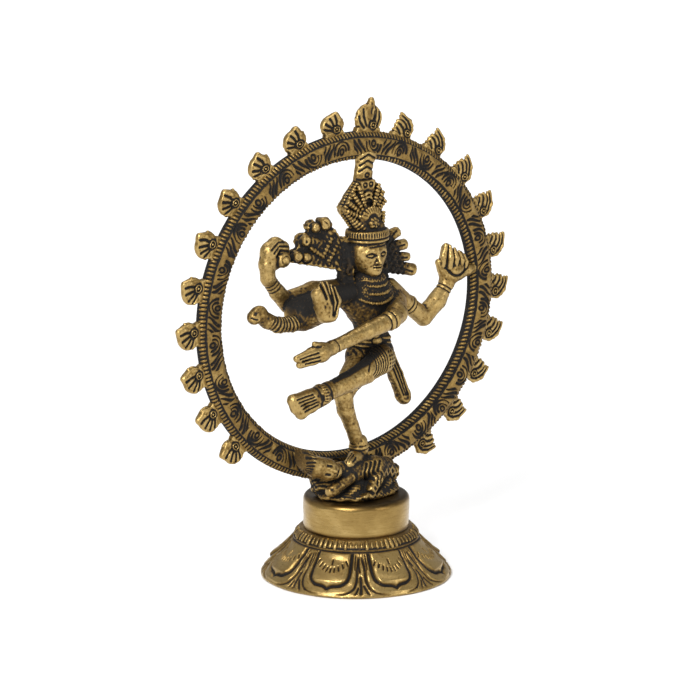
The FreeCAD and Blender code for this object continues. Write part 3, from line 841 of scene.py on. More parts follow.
# %% [markdown]
# ## The dwarf and the mound
# Under the foot lies a small figure on its belly, head to one side, knees drawn up, on a lump of
# folded cloth and rock. It is the roughest part of the casting and stays the darkest.


# %% Dwarf and mound
def dwarf_body(P):
    shape = limb(P, (-8.4, -3.4, 30.4, 2.2), (-4.5, -3.6, 29.4, 2.9), (3.0, -3.4, 29.0, 3.1),
                 (8.5, -1.8, 28.2, 2.6), soft=1.2)
    arm = limb(P, (-6.6, -5.2, 28.4, 1.7), (-11.6, -5.0, 26.0, 1.5), (-12.6, -4.6, 25.4, 1.5))
    shape = melt(shape, arm, 0.4)
    for k in range(4):
        path = [(-1.6 + 1.5 * k, -7, 31.6), (-2.8 + 1.5 * k, -7.2, 29.4), (-1.6 + 1.5 * k, -7, 26.2)]
        shape = press(P, shape, path, (-0.4, -1, 0.3), 0.36, 0.7, 5.0)
    return shape


def dwarf_head(P):
    shape = limb(P, (-17.6, -4.2, 33.0, 2.9), (-13.8, -4.7, 31.6, 2.8), (-11.6, -4.9, 30.8, 2.1), soft=0.8)
    facing = unit((-0.3, -1, 0.25))
    shape = melt(shape, limb(P, (-15.0, -7.2, 32.2, 0.35), (-13.3, -7.5, 31.6, 0.5)), 0.25)
    for x, z in ((-15.3, 33.4), (-15.9, 31.2)):
        shape = press(P, shape, [(x - 0.5, -8, z + 0.2), (x + 0.6, -8, z - 0.1)], facing, 0.28, 0.42, 2.4)
    shape = press(P, shape, [(-12.1, -8, 31.7), (-12.6, -8, 30.4)], facing, 0.26, 0.45, 2.4)
    hair = limb(P, (-22.2, -2.2, 36.4, 1.7), (-20.8, -3.0, 35.2, 2.2), (-19.4, -3.6, 34.0, 2.6))
    angle = np.arctan2(P[..., 1] + 4.0, P[..., 2] - 33.4)
    hair = hair + 0.2 * np.cos(angle * 15 + P[..., 0] * 1.5)
    return melt(shape, hair, 0.2)


def dwarf_legs(P):
    shape = limb(P, (5.0, -4.0, 27.8, 2.2), (0.8, -7.0, 26.6, 1.9), (-1.8, -8.4, 24.9, 1.5), soft=0.5)
    shape = melt(shape, egg(P, (-3.4, -9.2, 23.6), (2.4, 1.4, 0.95)), 0.15)
    shape = melt(shape, limb(P, (5.0, -4.0, 27.8, 2.2), (8.6, -3.0, 27.0, 2.1)), 0.5)
    shape = melt(shape, egg(P, (11.3, -1.2, 26.4), (2.3, 2.4, 2.4)), 0.2)
    shape = melt(shape, limb(P, (11.2, -2.6, 26.0, 0.9), (9.0, -4.6, 23.6, 0.8)), 0.2)
    facets = np.abs(np.sin(P[..., 0] * 1.7 + P[..., 2] * 0.9)) * np.abs(np.sin(P[..., 2] * 1.5 - P[..., 0]))
    shape = shape + 0.45 * facets
    for k in range(4):
        path = [(0.4 + 1.2 * k, -9.6, 28.4 - 0.2 * k), (-0.6 + 1.3 * k, -9.8, 26.2)]
        shape = press(P, shape, path, (-0.3, -1, 0.3), 0.26, 0.5, 4.0)
    return shape


def mound(P):
    shape = limb(P, (-7.8, -1.0, 24.0, 3.1), (7.5, -1.0, 24.0, 3.1), soft=0.8)
    shape = melt(shape, limb(P, (-8.4, 3.0, 25.6, 3.8), (8.4, 3.0, 25.6, 3.8)), 1.0)
    shape = melt(shape, limb(P, (-4.5, -4.6, 24.2, 2.6), (5.5, -4.6, 24.2, 2.6)), 1.0)
    shape = melt(shape, egg(P, (0, -0.6, 22.9), (12.4, 9.0, 2.3)), 1.0)
    shape = melt(shape, limb(P, (-5.0, 2.8, 28.0, 2.2), (5.0, 2.8, 28.2, 2.4)), 1.0)
    rough = np.sin(P[..., 0] * 1.1 + np.sin(P[..., 2] * 0.9) * 2) * np.sin(P[..., 1] * 0.9 + P[..., 2] * 0.8)
    shape = shape + 0.34 * rough + 0.1 * np.sin(P[..., 0] * 4.3 + P[..., 1] * 3.1) * np.sin(P[..., 2] * 4.7)
    return np.maximum(shape, box_mm("mound")[0][2] - P[..., 2])


wax_block("mound", mound, margin=2.4)
wax_block("dwarf_legs", dwarf_legs, margin=2.0)
wax_block("dwarf_body", dwarf_body, margin=2.0)
wax_block("dwarf_head", dwarf_head, margin=3.5)
print("modelled", len(wax), "pieces of wax")

# %% [markdown]
# ## From wax to metal
# All the blocks are now poured into one volume, so neighbours flow together. Each piece then takes back the
# share of the metal that lies nearest to it, plus a thin tongue that runs just under its
# neighbour, so the pieces stay separate and closed and no gap shows between them.
# The patina comes from the same volume: where the blurred volume is fuller than the sharp one, the surface
# is in a groove, and a wider blur finds the places that a cloth can't reach.

# %% One volume
FLOW = {"necklace": 0.15, "anklet_raised": 0.1, "anklet_standing": 0.15, "bracelet_front_right": 0.1,
        "waist_belt": 0.2, "crown_post": 0.4, "snake": 0.4, "dwarf_head": 0.25, "head": 0.25}
DEFAULT_FLOW = 0.6
EMPTY = 4.0
starts = np.array([first for first, _ in wax.values()])
ends = np.array([first + block.shape for first, block in wax.values()])
volume_first = starts.min(0) - 12
volume_size = ends.max(0) + 12 - volume_first
volume = np.full(volume_size, EMPTY, np.float32)
nearest = np.full(volume_size, EMPTY, np.float32)
second = np.full(volume_size, EMPTY, np.float32)
owner = np.full(volume_size, -1, np.int8)


def window(first, shape):
    low = first - volume_first
    return tuple(slice(low[i], low[i] + shape[i]) for i in range(3))


for number, (node, (first, block)) in enumerate(wax.items()):
    part = window(first, block.shape)
    volume[part] = melt(volume[part], block, FLOW.get(node, DEFAULT_FLOW))
    closer = block < nearest[part]
    second[part] = np.where(closer, nearest[part], np.minimum(second[part], block))
    owner[part] = np.where(closer, number, owner[part])
    nearest[part] = np.where(closer, block, nearest[part])
print("volume of", " x ".join(str(n) for n in volume.shape), "points")


# %% Groove and shelter
def blurred(field, reach):
    """Box blur along all three axes; reach is in grid points."""
    for axis in range(3):
        nothing = np.zeros_like(field.take([0], axis))
        total = np.cumsum(np.concatenate([nothing, field], axis), axis, dtype=np.float64)
        size = field.shape[axis]
        low = np.clip(np.arange(size) - reach, 0, size)
        high = np.clip(np.arange(size) + reach + 1, 0, size)
        width = (high - low).reshape([-1 if i == axis else 1 for i in range(3)])
        field = ((total.take(high, axis) - total.take(low, axis)) / width).astype(np.float32)
    return field


chance = np.random.default_rng(7)
skin = chance.standard_normal(volume.shape, dtype=np.float32)
volume += 0.12 * blurred(skin, 1) + 0.55 * blurred(skin[::-1, ::-1], 4)
solid = np.clip(volume, -1.2, 1.2)
groove_field = blurred(solid, 2)
filled = (volume < 0).astype(np.float32)
shelter_field = blurred(filled, 11)
print("patina fields made")


def sample(field, points, first):
    """Reads a field at points given in grid units, from the nearest three-way blend."""
    local = points - first
    low = np.clip(np.floor(local).astype(int), 0, np.array(field.shape) - 2)
    part = local - low
    total = 0.0
    for corner in np.ndindex(2, 2, 2):
        weight = np.prod(np.where(corner, part, 1 - part), axis=1)
        at = low + corner
        total = total + weight * field[at[:, 0], at[:, 1], at[:, 2]]
    return total


# %% Drawing the surface
EDGES = [(a, b) for a in np.ndindex(2, 2, 2) for b in np.ndindex(2, 2, 2)
         if sum(b) - sum(a) == 1 and all(q >= p for p, q in zip(a, b))]


def surface(field):
    """Points (in grid units) and four-sided faces where the field is zero."""
    inside = field < 0
    size = np.array(field.shape) - 1
    filled_corners = sum(inside[c[0]:c[0] + size[0], c[1]:c[1] + size[1], c[2]:c[2] + size[2]].astype(np.int8)
                         for c in np.ndindex(2, 2, 2))
    cells = np.argwhere((filled_corners > 0) & (filled_corners < 8))
    index = np.full(size, -1, np.int32)
    index[tuple(cells.T)] = np.arange(len(cells))
    total = np.zeros((len(cells), 3))
    count = np.zeros(len(cells))
    for a, b in EDGES:
        at_a, at_b = cells + a, cells + b
        va, vb = field[tuple(at_a.T)], field[tuple(at_b.T)]
        cut = (va < 0) != (vb < 0)
        t = np.where(cut, va / np.where(cut, va - vb, 1), 0)
        total += np.where(cut[:, None], at_a + t[:, None] * (np.array(b) - a), 0)
        count += cut
    points = total / count[:, None]
    faces = []
    for axis in range(3):
        u, v = (axis + 1) % 3, (axis + 2) % 3
        far = [slice(None)] * 3
        near = [slice(None)] * 3
        near[axis] = slice(0, -1)
        far[axis] = slice(1, None)
        change = inside[tuple(near)] != inside[tuple(far)]
        at = np.argwhere(change)
        at = at[(at[:, u] > 0) & (at[:, v] > 0) & (at[:, u] < size[u]) & (at[:, v] < size[v])]
        step_u = np.eye(3, dtype=int)[u]
        step_v = np.eye(3, dtype=int)[v]
        ring = [at - step_u - step_v, at - step_v, at, at - step_u]
        quad = np.stack([index[tuple(corner.T)] for corner in ring], 1)
        outward = inside[tuple(at.T)]
        faces.append(np.where(outward[:, None], quad, quad[:, ::-1]))
    return points, np.concatenate(faces)


def new_piece(name, points_mm, faces, material, **attributes):
    """A smooth mesh object at the origin from points in millimetres."""
    mesh = bpy.data.meshes.new(name)
    faces = np.asarray(faces)
    mesh.vertices.add(len(points_mm))
    mesh.vertices.foreach_set("co", (np.asarray(points_mm) * MM).astype(np.float32).ravel())
    mesh.loops.add(faces.size)
    mesh.loops.foreach_set("vertex_index", faces.ravel().astype(np.int32))
    mesh.polygons.add(len(faces))
    mesh.polygons.foreach_set("loop_start", np.arange(0, faces.size, faces.shape[1], dtype=np.int32))
    mesh.polygons.foreach_set("use_smooth", np.ones(len(faces), bool))
    mesh.update(calc_edges=True)
    mesh.validate()
    for key, values in attributes.items():
        layer = mesh.attributes.new(key, "FLOAT", "POINT")
        layer.data.foreach_set("value", np.asarray(values, np.float32))
    mesh.materials.append(material)
    piece = bpy.data.objects.new(name, mesh)
    bpy.context.scene.collection.objects.link(piece)
    return piece


def settle(piece, slot, *nodes):
    """Says what a finished piece rides on and stands for; slot, what it is made of, is not used."""
    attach(piece, "root")
    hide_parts(*nodes)


# %% Cutting the figure into its pieces
LAP = 0.35       # how far a piece runs under its neighbour, in millimetres
SINK = 0.16      # how deep it sinks there
# how much patina was left on a piece when the figure was rubbed
SHADE = {"necklace": 0.8, "hair_locks_left": 0.75, "hair_locks_right": 0.3, "mound": 1.1, "dwarf_body": 0.8,
         "dwarf_legs": 0.45, "hip_cloth": 0.7, "torso": 0.55, "waist_belt": 0.65, "crown_fan": 0.4,
         "crown_post": 0.2, "arm_front_left": 0.25, "arm_back_left": 0.15, "snake": 0.35, "sash_tail": 0.6,
         "anklet_raised": 0.3, "dwarf_head": 0.15, "leg_standing": 0.1, "hand_flame": 0.1}


def patina_of(hollow, shade):
    """Patina from how hollow the surface is there (negative on a ridge) and the shade left on the piece."""
    ridge = np.clip(-hollow / 0.06, 0, 1)
    return np.clip(hollow / 0.05, 0, 1.2) + shade * (1 - 0.85 * ridge) - 0.12 * ridge


def missed(node, x, y, z):
    """Extra darkness in special places of one piece, mostly patina that the rubbing cloth left; below zero it
    took more away.
    """
    extra = np.zeros(len(x))
    if node == "leg_raised":
        # the shin is darker in a stripe along its top
        axis = np.interp(x, [-17.6, -11.0, -4.0, 2.8], [54.2, 55.4, 57.0, 58.7])
        thick = np.interp(x, [-17.6, -11.0, -4.0, 2.8], [2.4, 2.6, 3.0, 3.6])
        fade = np.interp(x, [-2.0, 4.0], [0.8, 0.35])
        extra += fade * np.clip(((z - axis) / thick - 0.76) / 0.14, 0, 1)
    if node in ("leg_raised", "anklet_raised", "foot_raised"):
        # two black seams, one each side of the ankle ring
        along = 0.97 * (x + 20.2) + 0.2 * (z - 53.9)
        for seam in (-1.9, 1.7):
            extra += 1.1 * np.exp(-((along - seam) / 0.3) ** 2)
    if node == "arm_front_left":
        # the top of this arm is darker than its lower part
        extra += 0.75 * np.clip((z - 74.0) / 2.4, 0, 1)
    if node == "head":
        # the hair beside the face stayed dark
        extra += 0.6 * np.clip((np.abs(x - FACE_X) - 4.9) / 0.5, 0, 1) * (z < 90)
    if node == "hair_locks_right":
        # dark roots, bright tips
        root_end = np.interp(z, [79, 83, 86.6, 90.6], [19.2, 18.0, 16.6, 13.4])
        extra += 0.6 * np.clip((root_end - x) / 2.5, 0, 1)
    if node == "hair_locks_left":
        # the flat faces of the rolled ends were rubbed bare
        for knob_x, knob_z, size in KNOBS:
            extra -= 0.8 * (np.hypot(x - knob_x - 0.2, z - knob_z) < size * 0.8) * (y < 0.9)
    if node == "dwarf_head":
        # the hair is darker than the face
        extra += 0.4 * np.clip((-19.2 - x) / 0.8, 0, 1)
    return extra


triangles = 0
for number, (node, (first, block)) in enumerate(wax.items()):
    part = window(first, block.shape)
    others = np.where(owner[part] == number, second[part], nearest[part])
    lead = block - others
    share = np.maximum(volume[part] + SINK * np.clip(lead / LAP, 0, 1), lead - LAP)
    for axis in range(3):
        for end in (0, -1):
            face = [slice(None)] * 3
            face[axis] = end
            share[tuple(face)] = 1.0
    points, faces = surface(share)
    at = points + first
    groove = sample(groove_field, at, volume_first) - sample(solid, at, volume_first)
    shelter = sample(shelter_field, at, volume_first)
    patina = patina_of(-groove - 0.01, SHADE.get(node, 0.0))
    x, y, z = (at * GRAIN).T
    patina = patina + missed(node, x, y, z)
    piece = new_piece("cast_" + node, at * GRAIN, faces, figure_brass,
                      patina=patina, shelter=np.clip((shelter - 0.42) / 0.35, 0, 1))
    settle(piece, "figure_brass", node)
    triangles += 2 * len(faces)
print("figure has", len(wax), "pieces and", triangles, "triangles")

# %% [markdown]
# ## The ring
# Round the dancer runs a flat oval band, chased with scrolls: little eyes with curls round them, turned
# first one way and then the other, and long strokes between. It is swept here as one closed strip,
# and the pattern is pressed into its front and back as it goes round.

# %% The oval
border_low, border_high = box_mm("inner_border")
outer_low, outer_high = box_mm("outer_border")
band_low, band_high = box_mm("flame_ring")
RING_MIDDLE = (outer_low + outer_high) / 2
BAND_EDGE = (border_high - border_low) / 2     # where the inner cord ends and the band begins
BAND_WIDTH = 4.8
BAND_FRONT, BAND_BACK = float(band_low[1]), float(band_high[1])
turns = np.linspace(0, 2 * math.pi, 7201)
middle_x = float(BAND_EDGE[0] + BAND_WIDTH / 2 - 0.05)
middle_z = float(BAND_EDGE[2] + BAND_WIDTH / 2 - 0.05)
steps = np.hypot(np.diff(middle_x * np.cos(turns)), np.diff(middle_z * np.sin(turns)))
walk = np.concatenate([[0], np.cumsum(steps)])
RING_LENGTH = walk[-1]


def oval(distance, outward):
    """Point of the ring at a walked distance, outward from the middle line of the band (mm)."""
    turn = np.interp(distance % RING_LENGTH, walk, turns)
    return (RING_MIDDLE[0] + (middle_x + outward) * np.cos(turn),
            RING_MIDDLE[2] + (middle_z + outward) * np.sin(turn))


print("ring is %.1f mm round, band %.1f mm wide" % (RING_LENGTH, BAND_WIDTH))

# %% Scrolls on the band
SCROLLS = 28


def stroke(distance, width):
    return np.exp(-(distance / width) ** 2)


def scroll_depth(s, w):
    """How deep the chasing goes at s along and w across the band, both in millimetres."""
    period = RING_LENGTH / SCROLLS
    number = np.floor(s / period)
    side = np.where(number % 2 == 0, 1.0, -1.0)
    u = s - (number + 0.36) * period + 0.45 * np.sin(number * 2.4)
    v = w * side * 0.8
    eye_v = 0.55
    r = np.hypot(u, v - eye_v)
    angle = np.degrees(np.arctan2(v - eye_v, u))
    depth = 1.0 * stroke(r - 0.62, 0.2) + 0.35 * stroke(r, 0.12)
    # curls that hang round the eye and open towards the edge
    for k, radius in enumerate((1.4, 2.3)):
        curl = radius + 0.18 * np.sin(np.radians(angle) * 2 + k)
        hung = (angle < 24 - 12 * k) | (angle > 178 + 10 * k)
        thick = 0.2 + 0.12 * np.sin(np.radians(angle) * 1.5 + number)
        depth = np.maximum(depth, stroke(r - curl, thick) * hung * (np.abs(v) < 1.75))
    # long bent leaf strokes between two curls, thick in the middle and thin at the ends
    for k in range(3):
        at = u - period * 0.5 + 1.45 * k - 1.3 + 0.25 * np.sin(number * 3.7 + k)
        bend = 0.95 * np.sin(v * 1.0 + 0.3) + 0.25 * v
        thick = 0.14 + 0.3 * np.clip(1 - ((v - 0.3) / 1.6) ** 2, 0, 1)
        depth = np.maximum(depth, stroke(at - bend, thick) * (np.abs(v) < 1.6) * (r > 2.5))
    return np.clip(depth, 0, 1)


def band_outline():
    """(outward, y, front) points round the section of the band, front face first."""
    half = BAND_WIDTH / 2
    across = np.linspace(-half + 0.08, half - 0.08, 24)
    face = [(w, BAND_FRONT + 0.5 * abs(w / half) ** 3, 1) for w in across]
    outer = [(half + 0.08, BAND_FRONT + 0.95, 0), (half + 0.1, 3.0, 0), (half + 0.08, BAND_BACK - 0.75, 0)]
    back = [(w, BAND_BACK - 0.4 * abs(w / half) ** 3, -1) for w in across[::-1]]
    inner = [(-half - 0.08, BAND_BACK - 0.75, 0), (-half - 0.1, 3.0, 0), (-half - 0.08, BAND_FRONT + 0.95, 0)]
    return face + outer + back + inner


def strip_faces(columns, rows, flip=False):
    """Four-sided faces of a strip that closes on itself both ways."""
    i, j = np.meshgrid(np.arange(columns), np.arange(rows), indexing="ij")
    a = i * rows + j
    b = ((i + 1) % columns) * rows + j
    c = ((i + 1) % columns) * rows + (j + 1) % rows
    d = i * rows + (j + 1) % rows
    faces = np.stack([a, b, c, d], -1).reshape(-1, 4)
    return faces[:, ::-1] if flip else faces


def swept_band(name, section, columns, depth_of, depth, material):
    """Sweeps a section round the oval and presses a pattern into its front and back."""
    s = np.arange(columns) * RING_LENGTH / columns
    w = np.array([p[0] for p in section])
    y = np.array([p[1] for p in section])
    front = np.array([p[2] for p in section])
    S, W = np.meshgrid(s, w, indexing="ij")
    pressed = depth_of(S, W) * (front != 0)
    x, z = oval(S.ravel(), W.ravel())
    Y3 = (y[None, :] + front * pressed * depth).ravel()
    hand = 0.06 * np.sin(S * 0.9 + W) + 0.05 * np.sin(S * 2.3 - W * 2)
    Y3 = Y3 + (hand * (front != 0)).ravel()
    patina = np.clip(pressed * 1.15, 0, 1)
    edge = np.clip((np.abs(W) - BAND_WIDTH / 2 + 0.25) / 0.25, 0, 1)
    patina = np.maximum(patina, edge * 0.9)
    points = np.stack([x, Y3, z], 1)
    return new_piece(name, points, strip_faces(columns, len(section)), material,
                     patina=patina.ravel(), shelter=np.zeros(len(points)))


band = swept_band("chased_band", band_outline(), 1740, scroll_depth, 0.42, ring_brass)
settle(band, "ring_brass", "flame_ring")
print(band.name, len(band.data.polygons), "faces")

# %% [markdown]
# ## Roped borders
# Both edges of the band carry a cord of small slanting beads, over two hundred on each. Geometry
# Nodes walk round the oval at even steps, stand one bead at each step, turn it to follow the
# curve, slant it and vary its size a little, because each one was rolled by hand.


# %% A tree of nodes with named inputs
def new_tree(name, inputs):
    tree = bpy.data.node_groups.new(name, "GeometryNodeTree")
    tree.interface.new_socket("Geometry", in_out="INPUT", socket_type="NodeSocketGeometry")
    for label, kind, default in inputs:
        socket = tree.interface.new_socket(label, in_out="INPUT", socket_type="NodeSocket" + kind)
        if default is not None:
            socket.default_value = default
    tree.interface.new_socket("Geometry", in_out="OUTPUT", socket_type="NodeSocketGeometry")
    return tree, tree.nodes.new("NodeGroupInput"), tree.nodes.new("NodeGroupOutput")


def vector_of(tree, x, y, z):
    node = add(tree, "ShaderNodeCombineXYZ")
    for socket, value in zip(node.inputs, (x, y, z)):
        if isinstance(value, (int, float)):
            socket.default_value = value
        else:
            link(tree, value, socket)
    return node.outputs[0]


def bead_tree():
    """Beads at even steps round an oval or a circle, each turned along the curve."""
    tree, given, result = new_tree("row_of_beads", [
        ("Half X", "Float", 0.04), ("Half Z", "Float", 0.04), ("Centre", "Vector", None),
        ("Flat", "Bool", False), ("Count", "Int", 100), ("Size", "Vector", None), ("Tilt", "Vector", None),
        ("Uneven", "Float", 0.12), ("Seed", "Int", 1), ("Metal", "Material", None)])
    circle = add(tree, "GeometryNodeCurvePrimitiveCircle")
    circle.inputs["Resolution"].default_value = 720
    circle.inputs["Radius"].default_value = 1.0
    stretch = add(tree, "GeometryNodeTransform")
    link(tree, circle.outputs["Curve"], stretch.inputs["Geometry"])
    halves = vector_of(tree, given.outputs["Half X"], given.outputs["Half Z"], 1.0)
    link(tree, halves, stretch.inputs["Scale"])
    resample = add(tree, "GeometryNodeResampleCurve")
    link(tree, stretch.outputs[0], resample.inputs["Curve"])
    link(tree, given.outputs["Count"], resample.inputs["Count"])
    tangent = add(tree, "GeometryNodeInputTangent")
    turn = add(tree, "FunctionNodeAlignRotationToVector", axis="X", pivot_axis="Z")
    link(tree, tangent.outputs[0], turn.inputs["Vector"])
    ball = add(tree, "GeometryNodeMeshUVSphere")
    ball.inputs["Segments"].default_value = 10
    ball.inputs["Rings"].default_value = 6
    ball.inputs["Radius"].default_value = 1.0
    place = add(tree, "GeometryNodeInputPosition")
    split = add(tree, "ShaderNodeSeparateXYZ")
    link(tree, place.outputs[0], split.inputs[0])
    side = maths(tree, "ABSOLUTE", split.outputs["X"], 0.0)
    dark = add(tree, "ShaderNodeMapRange")
    dark.inputs["From Min"].default_value = 0.55
    dark.inputs["From Max"].default_value = 0.95
    link(tree, side, dark.inputs["Value"])
    store = add(tree, "GeometryNodeStoreNamedAttribute", data_type="FLOAT", domain="POINT")
    store.inputs["Name"].default_value = "patina"
    link(tree, ball.outputs["Mesh"], store.inputs["Geometry"])
    link(tree, dark.outputs["Result"], store.inputs["Value"])
    smooth = add(tree, "GeometryNodeSetShadeSmooth")
    link(tree, store.outputs["Geometry"], smooth.inputs["Geometry"])
    spread = add(tree, "FunctionNodeRandomValue", data_type="FLOAT")
    spread.inputs["Min"].default_value = -1.0
    spread.inputs["Max"].default_value = 1.0
    link(tree, given.outputs["Seed"], spread.inputs["Seed"])
    grow = maths(tree, "ADD", maths(tree, "MULTIPLY", spread.outputs[1], given.outputs["Uneven"]), 1.0)
    size = add(tree, "ShaderNodeVectorMath", operation="SCALE")
    link(tree, given.outputs["Size"], size.inputs[0])
    link(tree, grow, size.inputs["Scale"])
    slant = add(tree, "FunctionNodeRotateRotation", rotation_space="LOCAL")
    tilt = add(tree, "FunctionNodeEulerToRotation")
    link(tree, given.outputs["Tilt"], tilt.inputs[0])
    link(tree, turn.outputs[0], slant.inputs["Rotation"])
    link(tree, tilt.outputs[0], slant.inputs["Rotate By"])
    stand = add(tree, "GeometryNodeInstanceOnPoints")
    link(tree, resample.outputs[0], stand.inputs["Points"])
    link(tree, smooth.outputs[0], stand.inputs["Instance"])
    link(tree, slant.outputs[0], stand.inputs["Rotation"])
    link(tree, size.outputs[0], stand.inputs["Scale"])
    upright = add(tree, "GeometryNodeTransform")
    link(tree, stand.outputs[0], upright.inputs["Geometry"])
    switch = add(tree, "GeometryNodeSwitch", input_type="VECTOR")
    link(tree, given.outputs["Flat"], switch.inputs["Switch"])
    switch.inputs["False"].default_value = (math.pi / 2, 0, 0)
    switch.inputs["True"].default_value = (0, 0, 0)
    link(tree, switch.outputs[0], upright.inputs["Rotation"])
    link(tree, given.outputs["Centre"], upright.inputs["Translation"])
    real = add(tree, "GeometryNodeRealizeInstances")
    paint = add(tree, "GeometryNodeSetMaterial")
    link(tree, upright.outputs[0], real.inputs["Geometry"])
    link(tree, real.outputs[0], paint.inputs["Geometry"])
    link(tree, given.outputs["Metal"], paint.inputs["Material"])
    joined = add(tree, "GeometryNodeJoinGeometry")
    link(tree, given.outputs["Geometry"], joined.inputs[0])
    link(tree, paint.outputs[0], joined.inputs[0])
    link(tree, joined.outputs[0], result.inputs["Geometry"])
    return tree


def grown(piece, tree, **values):
    """Runs a tree on a piece with the given inputs and keeps the result as a plain mesh."""
    modifier = piece.modifiers.new(tree.name, "NODES")
    names = {item.name: item.identifier for item in tree.interface.items_tree if item.in_out == "INPUT"}
    for label, value in values.items():
        modifier[names[label.replace("_", " ")]] = value
    modifier.node_group = tree
    piece.update_tag()
    bpy.context.view_layer.update()
    ready = piece.evaluated_get(bpy.context.evaluated_depsgraph_get())
    mesh = bpy.data.meshes.new_from_object(ready)
    piece.modifiers.remove(modifier)
    mesh.name = piece.name
    piece.data = mesh
    return piece


beads = bead_tree()
RING_CENTRE = (float(RING_MIDDLE[0]) * MM, 3.0 * MM, float(RING_MIDDLE[2]) * MM)

half_band = BAND_WIDTH / 2
# (outward, y) corners of the bevelled hoops beside the band
INNER_BEVEL = [(-half_band + 0.1, 1.8), (-half_band - 0.3, 1.95), (-half_band - 1.15, 3.1),
               (-half_band - 1.33, 3.6), (-half_band - 1.3, 4.3), (-half_band - 1.0, 4.8),
               (-half_band + 0.1, 4.9)]
OUTER_BEVEL = [(half_band - 0.1, 1.8), (half_band + 0.35, 1.95), (half_band + 1.1, 2.8),
               (half_band + 1.3, 3.4), (half_band + 1.3, 4.0), (half_band + 1.0, 4.6), (half_band - 0.1, 4.9)]


def rounded(section, per_side=3):
    """The same closed section with points added along its sides."""
    points = []
    for a, b in zip(section, section[1:] + section[:1]):
        for k in range(per_side):
            t = k / per_side
            points.append((a[0] + (b[0] - a[0]) * t, a[1] + (b[1] - a[1]) * t, 0))
    return points


HOOP_COLUMNS = 420


def border(name, node, section, rim, middle, y, count, size, tilt, seed):
    """A bevelled hoop with a row of beads lying on its bevel; rim is where the bare edge begins."""
    section = rounded(section)
    if section[0][0] > 0:
        section = section[::-1]
    hoop_piece = swept_band(name, section, HOOP_COLUMNS, lambda S, W: S * 0, 0, ring_brass)
    out = np.abs([p[0] for p in section])
    bare = np.clip((out - rim) / 0.2, 0, 1)
    dark = np.tile(0.85 - 0.35 * bare, HOOP_COLUMNS).astype(np.float32)
    hoop_piece.data.attributes["patina"].data.foreach_set("value", dark)
    grown(hoop_piece, beads, Half_X=(middle_x + middle) * MM, Half_Z=(middle_z + middle) * MM,
          Centre=(RING_CENTRE[0], y * MM, RING_CENTRE[2]), Flat=False, Count=count,
          Size=tuple(v * MM for v in size), Tilt=tuple(math.radians(v) for v in tilt), Uneven=0.16, Seed=seed,
          Metal=ring_brass)
    settle(hoop_piece, "ring_brass", node)
    print(name, len(hoop_piece.data.polygons), "faces")
    return hoop_piece


NO_BARE_EDGE = 99.0
border("inner_rope", "inner_border", INNER_BEVEL, rim=half_band + 1.2, middle=-half_band - 0.58, y=2.62,
       count=236, size=(0.46, 0.98, 0.46), tilt=(-45, 20, 20), seed=3)
border("outer_beading", "outer_border", OUTER_BEVEL, rim=NO_BARE_EDGE, middle=half_band + 0.62, y=2.55,
       count=286, size=(0.5, 1.0, 0.5), tilt=(45, -6, 6), seed=5)

# %% [markdown]
# ## Flames
# Twenty-one tongues stand on the ring. Each is a small shell: flutes fan out from a round eye at its
# foot, and the tallest flute ends in a point. Three wax models are made, one for each side
# and one for the top, and a tree of nodes sets each copy on its place, leans it and roughens it
# a little with its own seed, so that no two are alike.

# %% Three wax flames
FLAME_GRAIN = 0.2


def flat_limb(P, thick, *joints, soft=0.5):
    """A limb cut flat in front and behind."""
    return np.maximum(limb(P, *joints, soft=soft), np.abs(P[..., 1]) - thick)


def leaf(P, plate, flutes, thick=1.2):
    """A solid plate with rounded flutes lying on it, cut in again between them."""
    shape = plate
    for flute in flutes:
        shape = melt(shape, flat_limb(P, thick, *flute), 0.05)
    for one, other in zip(flutes, flutes[1:]):
        between = [tuple((a + b) / 2 for a, b in zip(p[:3], q[:3])) for p, q in zip(one, other)]
        flat = P * (1, 0, 1)
        near = line_distance(flat, between)
        shape = shape + 0.75 * stroke(near, 0.3) * np.clip(np.abs(P[..., 1]) / 0.5 - 0.4, 0, 1)
    return shape


def with_eye(P, shape, x, z):
    """A small ring pressed round a flat dot, on both faces."""
    out = np.hypot(P[..., 0] - x, P[..., 2] - z)
    shape = np.where(out < 1.25, np.maximum(shape, np.abs(P[..., 1]) - 1.25), shape)
    disc = np.maximum(out - 1.0, np.abs(P[..., 1]) - 1.3)
    shape = melt(shape + 0.12 * stroke(out - 1.3, 0.25) * (np.abs(P[..., 1]) > 0.5), disc, 0.1)
    return shape + 0.6 * stroke(out - 0.55, 0.2) * (np.abs(P[..., 1]) > 0.6)


def root_plate(P, half, high):
    body = np.maximum(np.abs(P[..., 0]) - half + 0.3 * P[..., 2], np.abs(P[..., 1]) - 0.95)
    return np.maximum(body, np.abs(P[..., 2] - high / 2) - high / 2)


